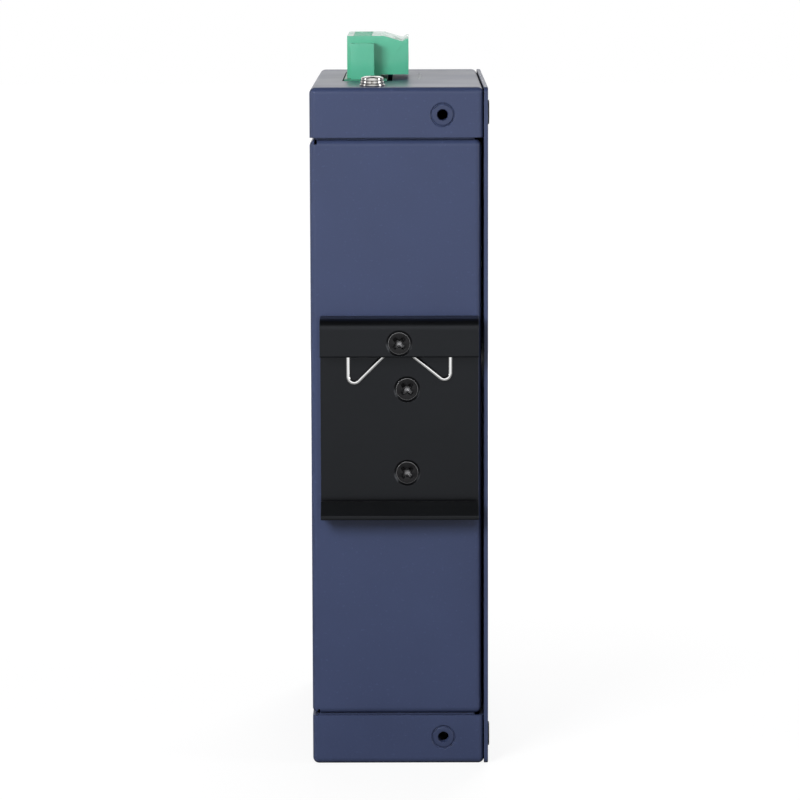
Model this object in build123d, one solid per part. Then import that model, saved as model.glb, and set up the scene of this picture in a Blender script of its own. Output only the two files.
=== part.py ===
from build123d import *
from math import cos, radians, sin, tan
import os

# Slim metal-cased ethernet switch that clips on a 35 mm rail, in millimetres.
# +Z is up, the ports face -Y and the rail clip is on the rear, at +Y.
# The origin is at the centre of the bottom plate's underside.

# Case, folded from sheet steel
case_width = 35.0
case_depth = 87.8
case_height = 135.0
sheet = 1.0
bend_radius = 1.2
band_height = 9.85
front_return = 10.0
seam = 0.4
rear_flange_reach = 7.0
wall_flange_reach = 3.5
tongue_end_gap = 1.3
cover_sheet = 0.8
cover_gap = 0.55
cover_edge = 0.2
relief_width = 0.5
relief_height = 0.9

# Running and seating gaps
fit_gap = 0.05
seat_gap = 0.1

# M3 screws: thread, heads and crossed drive
thread_radius = 1.5
clearance_radius = 1.65
head_radius = 2.2
head_edge = 0.05
head_crown = 0.6
drive_reach = 1.3
drive_width = 0.62
drive_depth = 0.9
drive_turn = 45.0

# Side cover screws, measured in from the case's edges
cover_head_radius = 2.4
cover_head_proud = 0.3
cover_screw_inset = 5.1
cover_screw_length = 5.0

# Pressed-in nuts in the sheet
nut_bore_radius = 1.2
nut_shank_radius = 2.4
nut_body_radius = 3.15
nut_body_height = 1.4
wall_nut_reach = 8.9
wall_nut_inset = 5.4

# Rail clip, an extruded section placed from the case's middle
clip_side_gap = 1.95
clip_drop = 17.2
clip_height = 39.85
clip_web = 2.0
hook_proud = 7.0
hook_wall = 1.9
hook_roof = 1.1
hook_height = 7.5
hook_round = 2.0
lip_proud = 6.0
lip_floor = 1.2
lip_edge = 0.8
rail_slot = 1.9
nose_height = 2.3
nose_flat = 0.4
clip_edge_round = 0.3

# Clip screws, placed from the clip's bottom
clip_screw_x = -1.5
clip_screw_rises = (8.85, 25.45)
clip_screw_sink = 0.3
clip_screw_length = 5.2
spring_screw_rise = 35.1

# Spring wire bent over its screw, placed from the clip's ends and that screw
wire_radius = 0.425
wire_inset_left = 5.47
wire_inset_right = 5.51
wire_shoulder_left = 1.88
wire_shoulder_right = 2.39
wire_opening_left = 45.0
wire_opening_right = 51.0
wire_bend = 1.2
wire_top_gap = 0.3

# Power and alarm terminal: plug on top, header behind the top plate
pole_pitch = 5.08
pole_count = 6
terminal_inset = 30.0
shoulder_rise = 0.3
plug_rise = 8.9
plug_wall_side = 3.19
plug_screw_side = 9.36
plug_slope_start = 4.6
plug_slope_end = 8.56
plug_slope_drop = 1.0
plug_rim_rise = 8.3
plug_rim_width = 0.6
plug_under_rise = 1.05
plug_throat_side = 3.6
plug_edge_round = 0.3
tongue_half = 2.9
tongue_depth = 8.0
ear_length = 5.08
ear_half = 2.37
ear_rise = 7.8
entry_half_x = 1.9
entry_half_y = 1.6
cage_half_x = 2.5
cage_half_y = 1.95
cage_wall = 0.7
cage_top_drop = 2.2
cage_height = 5.4
clamp_screw_radius = 1.45
clamp_hole_radius = 1.75
clamp_screw_sink = 0.8
slot_width = 0.6
slot_depth = 0.7
ear_screw_head = 1.85
ear_screw_shank = 1.2
ear_screw_head_height = 1.6
ear_screw_sink = 0.5
ear_screw_length = 11.0
header_wall_side = 3.74
header_screw_side = 4.96
header_height = 12.0
header_end = 0.4
header_wall = 1.1
header_pocket = 8.6
pin_half = 0.5
pin_rise = 7.2
pin_drop = 1.5
pin_hole_radius = 0.78
cutout_margin_screw_side = 1.1
cutout_margin_wall_side = 0.35
cutout_margin_end = 1.0

# Earth screw stack on the top plate
earth_offset = 2.26
earth_inset = 6.0
earth_washer_radius = 2.5
earth_washer_thickness = 0.45
earth_spring_radius = 2.3
earth_spring_thickness = 0.6
earth_spring_split = 0.5
earth_head_radius = 2.2
earth_head_height = 0.95
earth_thread_radius = 1.25
earth_screw_length = 5.0

# Main board, upright beside the wall
board_thickness = 1.6
board_wall_gap = 3.7
board_front_gap = 1.5
board_rear_inset = 10.9
board_bottom = 4.0
board_top_gap = 3.0
board_hole_radius = 1.65
board_screw_head = 2.8
board_screw_head_height = 1.7
board_screw_length = 4.8
standoff_radius = 2.6
standoff_foot_radius = 2.1
fixing_rear_inset = 5.0
fixing_front_inset = 13.4
fixing_middle_gap = 4.5
fixing_low_rise = 14.0
fixing_high_drop = 23.0

# Stacked port block, two columns of four
jack_proud = 0.4
jack_side_gap = 2.7
jack_depth = 25.0
jack_bottom = 12.0
jack_pitch = 13.97
jack_rows = 4
jack_end_wall = 1.5
jack_shell = 0.3
jack_cutout_gap = 0.3
socket_width = 11.7
socket_wall = 2.6
socket_depth = 14.0
socket_partition = 1.2
latch_width = 6.0
latch_height = 1.5
latch_notch_width = 3.4
latch_notch_height = 1.2
contact_count = 8
contact_pitch = 1.02
contact_width = 0.45
contact_thickness = 0.3
contact_lift = 1.9
contact_run = 8.5

# Indicator lamps on the front
lamp_radius = 1.5
lamp_flange_radius = 1.8
lamp_flange_height = 1.0
lamp_dome = 1.1
lamp_dome_steps = 3
lamp_body = 4.0
lamp_inset = 6.0
lamp_spacing = 8.4
port_lamp_rows = 4
free_lamp_rows = 1
status_lamp_rows = 2

# Board components: along Y, along Z and rise from the board
component_gap = 1.0
chip_size = 17.0
chip_rise = 1.6
chip_bevel = 0.4
sink_base = 1.8
sink_fin_count = 7
sink_fin_rise = 7.0
sink_fin_thickness = 0.9
magnetics_width = 12.5
magnetics_rise = 6.4
magnetics_bevel = 0.5
crystal_size = (11.4, 4.7, 3.5)
crystal_round = 2.1
capacitor_radius = 4.0
capacitor_rise = 11.5
capacitor_edge = 0.5
capacitor_groove_low = 1.0
capacitor_groove_high = 2.1
capacitor_groove_depth = 0.3
capacitor_inset = 5.5
capacitor_drop = 16.0
capacitor_pitch = 11.0
capacitor_count = 3
inductor_size = (10.2, 10.2, 4.6)
inductor_corner = 2.0
inductor_core_radius = 3.6
inductor_groove = 0.5
relay_size = (10.2, 15.4, 10.4)
relay_edge = 0.4
relay_inset = 17.0
relay_drop = 15.3
regulator_size = (6.5, 9.0, 2.3)
memory_size = (5.3, 8.1, 1.8)

# Faces that the pieces share
wall_x = case_width / 2
cover_x = -case_width / 2
tray_x = cover_x + cover_sheet
rear_y = case_depth / 2
front_y = -case_depth / 2
wall_inner_x = wall_x - sheet
rear_inner_y = rear_y - sheet
front_inner_y = front_y + sheet
top_inner = case_height - sheet
panel_bottom = band_height + seam
panel_top = case_height - band_height - seam
panel_end_x = tray_x + cover_gap
wrap_front = front_y + front_return + seam
wall_nut_x = cover_x + wall_nut_reach
shoulder = case_height + shoulder_rise
board_back = wall_inner_x - board_wall_gap
board_face = board_back - board_thickness
board_front = front_inner_y + board_front_gap
board_rear = rear_y - board_rear_inset
board_top = top_inner - board_top_gap
terminal_x = board_face - header_wall_side
terminal_rear = rear_y - terminal_inset
terminal_front = terminal_rear - 2 * ear_length - pole_count * pole_pitch
header_bottom = shoulder - header_height
header_x = (terminal_x - header_screw_side, board_face)
header_rear = terminal_rear + header_end
header_front = terminal_front - header_end
bush_radius = ear_half - 2 * seat_gap
pole_centres = [terminal_rear - ear_length - (i + 0.5) * pole_pitch for i in range(pole_count)]
ear_centres = (terminal_rear - ear_length / 2, terminal_front + ear_length / 2)
earth_x = terminal_x - earth_offset
earth_y = rear_y - earth_inset
clip_width = case_width - 2 * clip_side_gap
clip_bottom = case_height / 2 - clip_drop
clip_top = clip_bottom + clip_height
clip_face = rear_y + clip_web
clip_screw_heights = [clip_bottom + rise for rise in clip_screw_rises]
spring_screw_height = clip_bottom + spring_screw_rise
wire_leg_left = clip_width / 2 - wire_inset_left
wire_leg_right = clip_width / 2 - wire_inset_right
countersink_radius = head_radius + head_edge + clip_screw_sink + fit_gap
hook_face = rear_y + hook_proud
hook_inner = hook_face - hook_wall
hook_bottom = clip_top - hook_height
jack_front = front_y - jack_proud
jack_back = jack_front + jack_depth
jack_length = jack_rows * jack_pitch + 2 * jack_end_wall
jack_top = jack_bottom + jack_length
jack_low_x = tray_x + jack_side_gap
jack_middle_x = (jack_low_x + board_face) / 2
jack_middle_z = (jack_bottom + jack_top) / 2
socket_start = socket_partition / 2
socket_room = (board_face - jack_low_x) / 2 - socket_start - socket_wall
socket_height = socket_room - latch_height - latch_notch_height
magnetics_y = jack_back + jack_shell + component_gap + magnetics_width / 2
magnetics_rear = magnetics_y + magnetics_width / 2
chip_place = (magnetics_rear + component_gap + chip_size / 2, jack_middle_z)
crystal_height = jack_middle_z + (chip_size + crystal_size[1]) / 2 + component_gap
memory_height = crystal_height + (crystal_size[1] + memory_size[1]) / 2 + component_gap
fixing_heights = (board_bottom + fixing_low_rise, board_top - fixing_high_drop)
board_fixings = [
    (board_rear - fixing_rear_inset, fixing_heights[0]),
    (board_rear - fixing_rear_inset, fixing_heights[1]),
    (magnetics_rear + fixing_middle_gap, fixing_heights[0]),
    (board_front + fixing_front_inset, fixing_heights[1]),
]
supply_height = jack_top + jack_shell + component_gap + inductor_size[1] / 2
inductor_ys = (jack_back + inductor_size[0] / 2, jack_back + 1.5 * inductor_size[0] + component_gap)
regulator_ys = (
    jack_back - component_gap - regulator_size[0] / 2,
    jack_back - 2 * component_gap - 1.5 * regulator_size[0],
)
lamp_columns = (board_face - lamp_inset, board_face - lamp_inset - lamp_spacing)
lamp_bottom = jack_top + jack_shell
lamp_pitch = (header_bottom - lamp_bottom) / (port_lamp_rows + free_lamp_rows + status_lamp_rows)
wall_nut_heights = (wall_nut_inset, case_height - wall_nut_inset)
cover_screw_heights = (cover_screw_inset, case_height - cover_screw_inset)
cover_screw_ys = (rear_y - cover_screw_inset, front_y + cover_screw_inset)


def block(low, high):
    """Box between two opposite corners."""
    size = [b - a for a, b in zip(low, high)]
    middle = [(a + b) / 2 for a, b in zip(low, high)]
    return Pos(*middle) * Box(*size)


def rounded_block(low, high, radius):
    """Box between two corners with every edge rounded."""
    solid = block(low, high)
    return fillet(solid.edges(), radius)


def folded_pan(low, high):
    """Closed pan of sheet with rounded bends all round."""
    inner_low = [value + sheet for value in low]
    inner_high = [value - sheet for value in high]
    return rounded_block(low, high, bend_radius) - rounded_block(inner_low, inner_high, bend_radius - sheet)


def seat(origin, direction):
    """Plane standing at a point, with a steady roll about its direction."""
    side = (0, 1, 0) if direction[0] else (1, 0, 0)
    return Plane(origin=origin, x_dir=side, z_dir=direction)


def turned(outline):
    """Solid turned about Z from (radius, height) points."""
    face = make_face(Polyline(*[(radius, 0, height) for radius, height in outline], close=True))
    return revolve(face, Axis.Z)


def rod(start, direction, length, radius):
    """Round bar from a point along a direction."""
    return seat(start, direction) * Pos(0, 0, length / 2) * Cylinder(radius, length)


def group(parts):
    """Separate solids kept in one node."""
    return Compound([solid for part in parts for solid in part.solids()])


def cross_drive():
    """Crossed driver recess below height 0."""
    arm = Pos(0, 0, -drive_depth / 2) * Box(2 * drive_reach, drive_width, drive_depth)
    return arm + Rot(0, 0, 90) * arm


def slot_drive(radius):
    """Straight driver slot below height 0, across a head of this radius."""
    return Pos(0, 0, -slot_depth / 2) * Box(2 * radius + slot_width, slot_width, slot_depth)


def pan_screw(radius, height, shank_radius, length):
    """Screw with a crowned head that stands on height 0."""
    head = Pos(0, 0, height / 2) * Cylinder(radius, height)
    head = fillet(head.faces().sort_by(Axis.Z)[-1].edges(), head_crown * height)
    head -= Pos(0, 0, height) * cross_drive()
    return head + Pos(0, 0, -length / 2) * Cylinder(shank_radius, length)


def flat_screw(radius, shank_radius, length, edge):
    """Countersunk screw below height 0, with a straight edge above its cone."""
    cone = radius - shank_radius
    outline = [
        (0, 0),
        (radius, 0),
        (radius, -edge),
        (shank_radius, -edge - cone),
        (shank_radius, -length),
        (0, -length),
    ]
    return turned(outline) - Rot(0, 0, drive_turn) * cross_drive()


def countersink(radius, hole_radius, depth):
    """Cutter for a countersunk clearance hole below height 0."""
    cone = radius - hole_radius
    outline = [
        (0, seat_gap),
        (radius + seat_gap, seat_gap),
        (hole_radius, -cone),
        (hole_radius, -depth),
        (0, -depth),
    ]
    return turned(outline)


def pressed_nut():
    """Nut pressed in a sheet: its shank fills the hole and its body lies inside."""
    outline = [
        (nut_bore_radius, 0),
        (nut_shank_radius, 0),
        (nut_shank_radius, -sheet),
        (nut_body_radius, -sheet),
        (nut_body_radius, -sheet - nut_body_height),
        (nut_bore_radius, -sheet - nut_body_height),
    ]
    return turned(outline)


# Case


def weld_tongues():
    """Tongues of the chassis that back the wrap's inward flanges and close the seams."""
    tongues = []
    for low, high in ((panel_top, panel_top + sheet), (panel_bottom - sheet, panel_bottom)):
        rear_start = (panel_end_x + tongue_end_gap, rear_y - rear_flange_reach, low)
        rear_end = (wall_x - tongue_end_gap, rear_inner_y, high)
        wall_start = (wall_x - wall_flange_reach, wrap_front + tongue_end_gap, low)
        wall_end = (wall_inner_x, rear_y - tongue_end_gap, high)
        tongues.append(block(rear_start, rear_end))
        tongues.append(block(wall_start, wall_end))
    return tongues


def chassis():
    """Front plate, top tray and bottom tray, folded as one sheet."""
    body = folded_pan((tray_x, front_y, 0), (wall_x, rear_y, case_height))
    body -= block(
        (tray_x - sheet, front_y + front_return, band_height),
        (wall_x + sheet, rear_y + sheet, case_height - band_height),
    )
    for tongue in weld_tongues():
        body += tongue
    for z in wall_nut_heights:
        body -= rod((wall_nut_x, rear_y + sheet, z), (0, -1, 0), 3 * sheet, nut_shank_radius + fit_gap)
    for y in cover_screw_ys:
        for z in cover_screw_heights:
            cut = countersink(cover_head_radius + fit_gap, thread_radius + fit_gap, cover_sheet + 2 * sheet)
            body -= seat((cover_x, y, z), (-1, 0, 0)) * cut
    body -= rod((earth_x, earth_y, top_inner - sheet), (0, 0, 1), 3 * sheet, nut_shank_radius + fit_gap)
    screw_side = header_x[0] - cutout_margin_screw_side
    wall_side = header_x[1] + cutout_margin_wall_side
    body -= block(
        (screw_side, header_front - cutout_margin_end, top_inner - sheet),
        (wall_side, header_rear + cutout_margin_end, case_height + sheet),
    )
    margin = jack_shell + jack_cutout_gap
    body -= block(
        (jack_low_x - margin, front_y - sheet, jack_bottom - margin),
        (board_face + jack_cutout_gap, front_inner_y + sheet, jack_top + margin),
    )
    for x, z in port_lamp_places() + status_lamp_places():
        body -= rod((x, front_y - sheet, z), (0, 1, 0), 3 * sheet, lamp_radius + fit_gap)
    return body


def wrap():
    """Side wall and rear panel in one sheet, with flanges turned inwards round its edges."""
    body = folded_pan((panel_end_x, wrap_front, panel_bottom), (wall_x, rear_y, panel_top))
    body -= block(
        (panel_end_x - sheet, wrap_front - sheet, 0),
        (wall_x - wall_flange_reach, rear_y - rear_flange_reach, case_height),
    )
    for x in (panel_end_x, wall_x - bend_radius):
        for z in (panel_bottom, panel_top):
            body -= block(
                (x - relief_width / 2, rear_y - rear_flange_reach, z - relief_height),
                (x + relief_width / 2, rear_y + sheet, z + relief_height),
            )
    for x, z in clip_fixings():
        body -= rod((x, rear_y + sheet, z), (0, -1, 0), 3 * sheet, nut_shank_radius + fit_gap)
    for y, z in board_fixings:
        body -= rod((wall_x + sheet, y, z), (-1, 0, 0), 3 * sheet, standoff_foot_radius + fit_gap)
    return body


def side_cover():
    """Flat plate that closes the side away from the board."""
    plate = block((cover_x, front_y, 0), (tray_x, rear_y, case_height))
    plate = fillet(plate.edges().filter_by(Axis.X), bend_radius)
    plate = fillet(plate.faces().sort_by(Axis.X)[0].edges(), cover_edge)
    hole = thread_radius + fit_gap
    for y in cover_screw_ys:
        for z in cover_screw_heights:
            cut = countersink(cover_head_radius + fit_gap, hole, 2 * cover_sheet)
            plate -= seat((cover_x, y, z), (-1, 0, 0)) * cut
    return plate


def cover_screws():
    """Four countersunk screws that stand a little proud of the side cover."""
    screw = flat_screw(cover_head_radius, thread_radius, cover_screw_length, cover_head_proud)
    return group(
        seat((cover_x - cover_head_proud, y, z), (-1, 0, 0)) * screw
        for y in cover_screw_ys
        for z in cover_screw_heights
    )


def wall_mount_nuts():
    """Two flush nuts in the rear bands for a wall bracket."""
    return group(seat((wall_nut_x, rear_y, z), (0, 1, 0)) * pressed_nut() for z in wall_nut_heights)


# Rail clip


def clip_fixings():
    """Places of the two screws through the clip's web."""
    return [(clip_screw_x, z) for z in clip_screw_heights]


def edges_along_x(solid, corners):
    """Edges parallel to X that pass through the given (y, z) corners."""
    return [
        edge
        for edge in solid.edges().filter_by(Axis.X)
        for y, z in corners
        if abs(edge.center().Y - y) + abs(edge.center().Z - z) < fit_gap
    ]


def din_clip():
    """Extruded clip: a roofed hook above and a snap lip below, each undercut for the rail."""
    slot_face = clip_face + rail_slot
    floor = clip_bottom + lip_floor
    roof = clip_top - hook_roof
    outline = [
        (rear_y, clip_bottom),
        (rear_y + lip_proud, clip_bottom),
        (rear_y + lip_proud, clip_bottom + lip_edge),
        (slot_face + nose_flat, floor + nose_height),
        (slot_face, floor + nose_height),
        (slot_face, floor),
        (clip_face, floor),
        (clip_face, roof),
        (hook_inner, roof),
        (hook_inner, hook_bottom),
        (hook_face, hook_bottom),
        (hook_face, clip_top),
        (rear_y, clip_top),
    ]
    section = make_face(Polyline(*[(-clip_width / 2, y, z) for y, z in outline], close=True))
    body = extrude(section, clip_width, dir=(1, 0, 0))
    body = fillet(edges_along_x(body, [(hook_face, clip_top)]), hook_round)
    small = [outline[1], outline[2], outline[9], outline[10]]
    body = fillet(edges_along_x(body, small), clip_edge_round)
    through_web = countersink(countersink_radius, clearance_radius, 2 * clip_web)
    for x, z in clip_fixings():
        body -= seat((x, clip_face, z), (0, 1, 0)) * through_web
    through_lip = countersink(countersink_radius, clearance_radius, hook_wall + seat_gap)
    body -= seat((0, hook_face, spring_screw_height), (0, 1, 0)) * through_lip
    tapped = thread_radius + fit_gap
    body -= rod((0, rear_y - seat_gap, spring_screw_height), (0, 1, 0), clip_web + 2 * seat_gap, tapped)
    return body


def clip_screws():
    """Two countersunk screws that hold the clip to the rear panel."""
    screw = flat_screw(head_radius, thread_radius, clip_screw_length, head_edge)
    return group(
        seat((x, clip_face - clip_screw_sink, z), (0, 1, 0)) * screw
        for x, z in clip_fixings()
    )


def clip_nuts():
    """Nuts pressed in the rear panel under the clip."""
    bore = Pos(0, 0, -2 * sheet) * Cylinder(thread_radius + fit_gap, 6 * sheet)
    nut = pressed_nut() - bore
    return group(seat((x, rear_y, z), (0, 1, 0)) * nut for x, z in clip_fixings())


def spring_screw():
    """Screw through the hook that carries the spring wire."""
    length = hook_proud - clip_screw_sink
    screw = flat_screw(head_radius, thread_radius, length, head_edge)
    return seat((0, hook_face - clip_screw_sink, spring_screw_height), (0, 1, 0)) * screw


def spring_wire():
    """Bent wire: two legs, two low bends and an arch over the screw."""
    y = clip_face + seat_gap + wire_radius
    arch = thread_radius + seat_gap + wire_radius
    leg_top = clip_top - hook_roof - wire_top_gap
    arch_top = spring_screw_height + arch
    shoulder_left = spring_screw_height - wire_shoulder_left
    shoulder_right = spring_screw_height - wire_shoulder_right
    corner_left = shoulder_left - (wire_leg_left - arch) / tan(radians(wire_opening_left))
    corner_right = shoulder_right - (wire_leg_right - arch) / tan(radians(wire_opening_right))
    points = [
        (wire_leg_left, y, leg_top),
        (wire_leg_left, y, corner_left),
        (arch, y, shoulder_left),
        (arch, y, arch_top),
        (-arch, y, arch_top),
        (-arch, y, shoulder_right),
        (-wire_leg_right, y, corner_right),
        (-wire_leg_right, y, leg_top),
    ]
    round_arch = arch - 2 * fit_gap
    radii = [wire_bend, wire_bend, round_arch, round_arch, wire_bend, wire_bend]
    path = FilletPolyline(*points, radius=radii)
    section = Plane(origin=path @ 0, z_dir=path % 0) * Circle(wire_radius)
    return sweep(section, path=path)


# Power and alarm terminal


def plug_body():
    """Screw plug: one section over all poles, a tongue below and an ear at each end."""
    top = case_height + plug_rise
    outline = [
        (terminal_x + plug_wall_side, shoulder),
        (terminal_x + plug_wall_side, top),
        (terminal_x - plug_slope_start, top),
        (terminal_x - plug_slope_end, top - plug_slope_drop),
        (terminal_x - plug_screw_side + plug_rim_width, case_height + plug_rim_rise),
        (terminal_x - plug_screw_side, case_height + plug_rim_rise),
        (terminal_x - plug_screw_side, case_height + plug_under_rise),
        (terminal_x - plug_throat_side, case_height + plug_under_rise),
        (terminal_x - plug_throat_side, shoulder),
    ]
    rear = terminal_rear - ear_length
    front = terminal_front + ear_length
    section = make_face(Polyline(*[(x, rear, z) for x, z in outline], close=True))
    body = extrude(section, rear - front, dir=(0, -1, 0))
    body = fillet(body.edges().filter_by(Axis.Y).sort_by(Axis.Z)[-4:], plug_edge_round)
    body += block(
        (terminal_x - tongue_half, front + seat_gap, shoulder - tongue_depth),
        (terminal_x + tongue_half, rear - seat_gap, shoulder),
    )
    for y, end in zip(ear_centres, (1, -1)):
        ear = block(
            (terminal_x - ear_half, y - ear_length / 2, shoulder),
            (terminal_x + ear_half, y + ear_length / 2, case_height + ear_rise),
        )
        outer = ear.faces().sort_by(Axis.Y)[-1 if end > 0 else 0]
        ear = fillet(outer.edges(), plug_edge_round)
        sink = ear_screw_sink + ear_screw_head_height
        low = case_height + ear_rise - sink
        ear -= rod((terminal_x, y, low), (0, 0, 1), 2 * sink, ear_screw_head + seat_gap)
        ear -= rod((terminal_x, y, shoulder - seat_gap), (0, 0, 1), ear_rise, ear_screw_shank + seat_gap)
        body += ear
    for y in pole_centres:
        for cut in pole_cuts(y):
            body -= cut
    return body


def pole_cuts(y):
    """Wire entry, cage room, screw hole and contact slot of one pole."""
    top = case_height + plug_rise
    cage_top = top - cage_top_drop
    gap = fit_gap
    entry = block(
        (terminal_x - entry_half_x, y - entry_half_y, cage_top - seat_gap),
        (terminal_x + entry_half_x, y + entry_half_y, top + seat_gap),
    )
    cage_room = block(
        (terminal_x - cage_half_x - gap, y - cage_half_y - gap, cage_top - cage_height - gap),
        (terminal_x + cage_half_x + gap, y + cage_half_y + gap, cage_top + gap),
    )
    hole = rod(
        (terminal_x - plug_screw_side - seat_gap, y, cage_top - cage_height / 2),
        (1, 0, 0),
        plug_screw_side,
        clamp_hole_radius,
    )
    slot = block(
        (terminal_x - 2 * pin_half, y - 2 * pin_half, shoulder - tongue_depth - seat_gap),
        (terminal_x + 2 * pin_half, y + 2 * pin_half, cage_top - cage_height),
    )
    return entry, cage_room, hole, slot


def plug_clamps():
    """Wire cages with a contact blade that reaches down beside the header's pin."""
    cage_top = case_height + plug_rise - cage_top_drop
    cage_bottom = cage_top - cage_height
    clamps = []
    for y in pole_centres:
        cage = block(
            (terminal_x - cage_half_x, y - cage_half_y, cage_bottom),
            (terminal_x + cage_half_x, y + cage_half_y, cage_top),
        )
        cage -= block(
            (terminal_x - cage_half_x + 2 * cage_wall, y - cage_half_y + cage_wall, cage_bottom + cage_wall),
            (terminal_x + cage_half_x - cage_wall, y + cage_half_y - cage_wall, cage_top + cage_wall),
        )
        middle = (cage_top + cage_bottom) / 2
        tapped = clamp_screw_radius + fit_gap
        cage -= rod((terminal_x - 2 * cage_half_x, y, middle), (1, 0, 0), 2 * cage_half_x, tapped)
        cage += block(
            (terminal_x + pin_half + fit_gap, y - pin_half, shoulder - tongue_depth + cage_wall),
            (terminal_x + 2 * pin_half - fit_gap, y + pin_half, cage_bottom),
        )
        clamps.append(cage)
    return group(clamps)


def plug_clamp_screws():
    """Slotted screws that close the wire cages, one for each pole."""
    middle = case_height + plug_rise - cage_top_drop - cage_height / 2
    start = terminal_x - plug_screw_side + clamp_screw_sink
    length = terminal_x - cage_half_x + 2 * cage_wall - start
    screw = Pos(0, 0, -length / 2) * Cylinder(clamp_screw_radius, length) - slot_drive(clamp_screw_radius)
    return group(seat((start, y, middle), (-1, 0, 0)) * screw for y in pole_centres)


def plug_flange_screws():
    """Slotted screws in the ears that hold the plug to its header."""
    outline = [
        (0, 0),
        (ear_screw_head, 0),
        (ear_screw_head, -ear_screw_head_height),
        (ear_screw_shank, -ear_screw_head_height),
        (ear_screw_shank, -ear_screw_length),
        (0, -ear_screw_length),
    ]
    screw = turned(outline) - slot_drive(ear_screw_head)
    top = case_height + ear_rise - ear_screw_sink
    return group(seat((terminal_x, y, top), (0, 0, 1)) * screw for y in ear_centres)


def header_body():
    """Header on the board: an open pocket for the plug's tongue and a bush hole at each end."""
    body = block((header_x[0], header_front, header_bottom), (header_x[1], header_rear, shoulder))
    body -= block(
        (terminal_x - tongue_half - seat_gap, terminal_front + ear_length, shoulder - header_pocket),
        (terminal_x + tongue_half + seat_gap, terminal_rear - ear_length, shoulder + seat_gap),
    )
    for y in ear_centres:
        foot = (terminal_x, y, header_bottom + header_wall)
        body -= rod(foot, (0, 0, 1), header_height, bush_radius + fit_gap)
    for y in pole_centres:
        body -= block(
            (terminal_x - pin_half - fit_gap, y - pin_half - fit_gap, header_bottom - seat_gap),
            (terminal_x + pin_half + fit_gap, y + pin_half + fit_gap, shoulder - header_pocket + seat_gap),
        )
    return body


def header_bushes():
    """Threaded bushes in the header for the plug's two screws."""
    bottom = header_bottom + header_wall
    length = shoulder - bottom
    bushes = []
    for y in ear_centres:
        bush = rod((terminal_x, y, bottom), (0, 0, 1), length, bush_radius)
        bushes.append(bush - rod((terminal_x, y, bottom), (0, 0, 1), length, ear_screw_shank + fit_gap))
    return group(bushes)


def header_pins():
    """Square pins, bent under the header and led through the board."""
    turn = header_bottom - pin_drop
    pins = []
    for y in pole_centres:
        upright = block(
            (terminal_x - pin_half, y - pin_half, turn - pin_half),
            (terminal_x + pin_half, y + pin_half, shoulder - header_pocket + pin_rise),
        )
        tail = block(
            (terminal_x, y - pin_half, turn - pin_half),
            (board_back + 2 * pin_half, y + pin_half, turn + pin_half),
        )
        pins.append(upright + tail)
    return group(pins)


# Earth screw stack


def earth_screw():
    """Pan-head screw, standing on its two washers."""
    base = case_height + earth_washer_thickness + earth_spring_thickness
    screw = pan_screw(earth_head_radius, earth_head_height, earth_thread_radius, earth_screw_length)
    return seat((earth_x, earth_y, base), (0, 0, 1)) * screw


def earth_spring_washer():
    """Split ring under the earth screw's head."""
    base = (earth_x, earth_y, case_height + earth_washer_thickness)
    ring = rod(base, (0, 0, 1), earth_spring_thickness, earth_spring_radius)
    ring -= rod(base, (0, 0, 1), earth_spring_thickness, earth_thread_radius + fit_gap)
    split = earth_spring_split / 2
    ring -= block(
        (earth_x - split, earth_y, base[2] - seat_gap),
        (earth_x + split, earth_y + 2 * earth_spring_radius, base[2] + 2 * earth_spring_thickness),
    )
    return ring


def earth_flat_washer():
    """Plain washer on the top plate."""
    base = (earth_x, earth_y, case_height)
    ring = rod(base, (0, 0, 1), earth_washer_thickness, earth_washer_radius)
    return ring - rod(base, (0, 0, 1), earth_washer_thickness, earth_thread_radius + fit_gap)


def earth_nut():
    """Nut pressed in the top plate from inside."""
    bore = Pos(0, 0, -2 * sheet) * Cylinder(earth_thread_radius + fit_gap, 6 * sheet)
    return seat((earth_x, earth_y, case_height), (0, 0, 1)) * (pressed_nut() - bore)


# Board and its fixings


def main_board():
    """Upright circuit board with its fixing and pin holes."""
    body = block((board_face, board_front, board_bottom), (board_back, board_rear, board_top))
    for y, z in board_fixings:
        body -= rod((board_face - seat_gap, y, z), (1, 0, 0), 2 * board_thickness, board_hole_radius)
    for y in pole_centres:
        start = (board_face - seat_gap, y, header_bottom - pin_drop)
        body -= rod(start, (1, 0, 0), 2 * board_thickness, pin_hole_radius)
    return body


def board_standoffs():
    """Pillars pressed in the side wall, with a tapped hole for the board's screws."""
    length = wall_inner_x - board_back
    bore = thread_radius + fit_gap
    outline = [
        (bore, 0),
        (standoff_radius, 0),
        (standoff_radius, -length),
        (standoff_foot_radius, -length),
        (standoff_foot_radius, -length - sheet),
        (0, -length - sheet),
        (0, -length),
        (bore, -length),
    ]
    return group(seat((board_back, y, z), (-1, 0, 0)) * turned(outline) for y, z in board_fixings)


def board_screws():
    """Pan-head screws that hold the board to its pillars."""
    screw = pan_screw(board_screw_head, board_screw_head_height, thread_radius, board_screw_length)
    return group(seat((board_face, y, z), (-1, 0, 0)) * screw for y, z in board_fixings)


# Stacked port block


def socket_places():
    """Middle of each socket row, and the side that its latch faces."""
    rows = [jack_bottom + jack_end_wall + (i + 0.5) * jack_pitch for i in range(jack_rows)]
    return [(z, side) for side in (1, -1) for z in rows]


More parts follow.
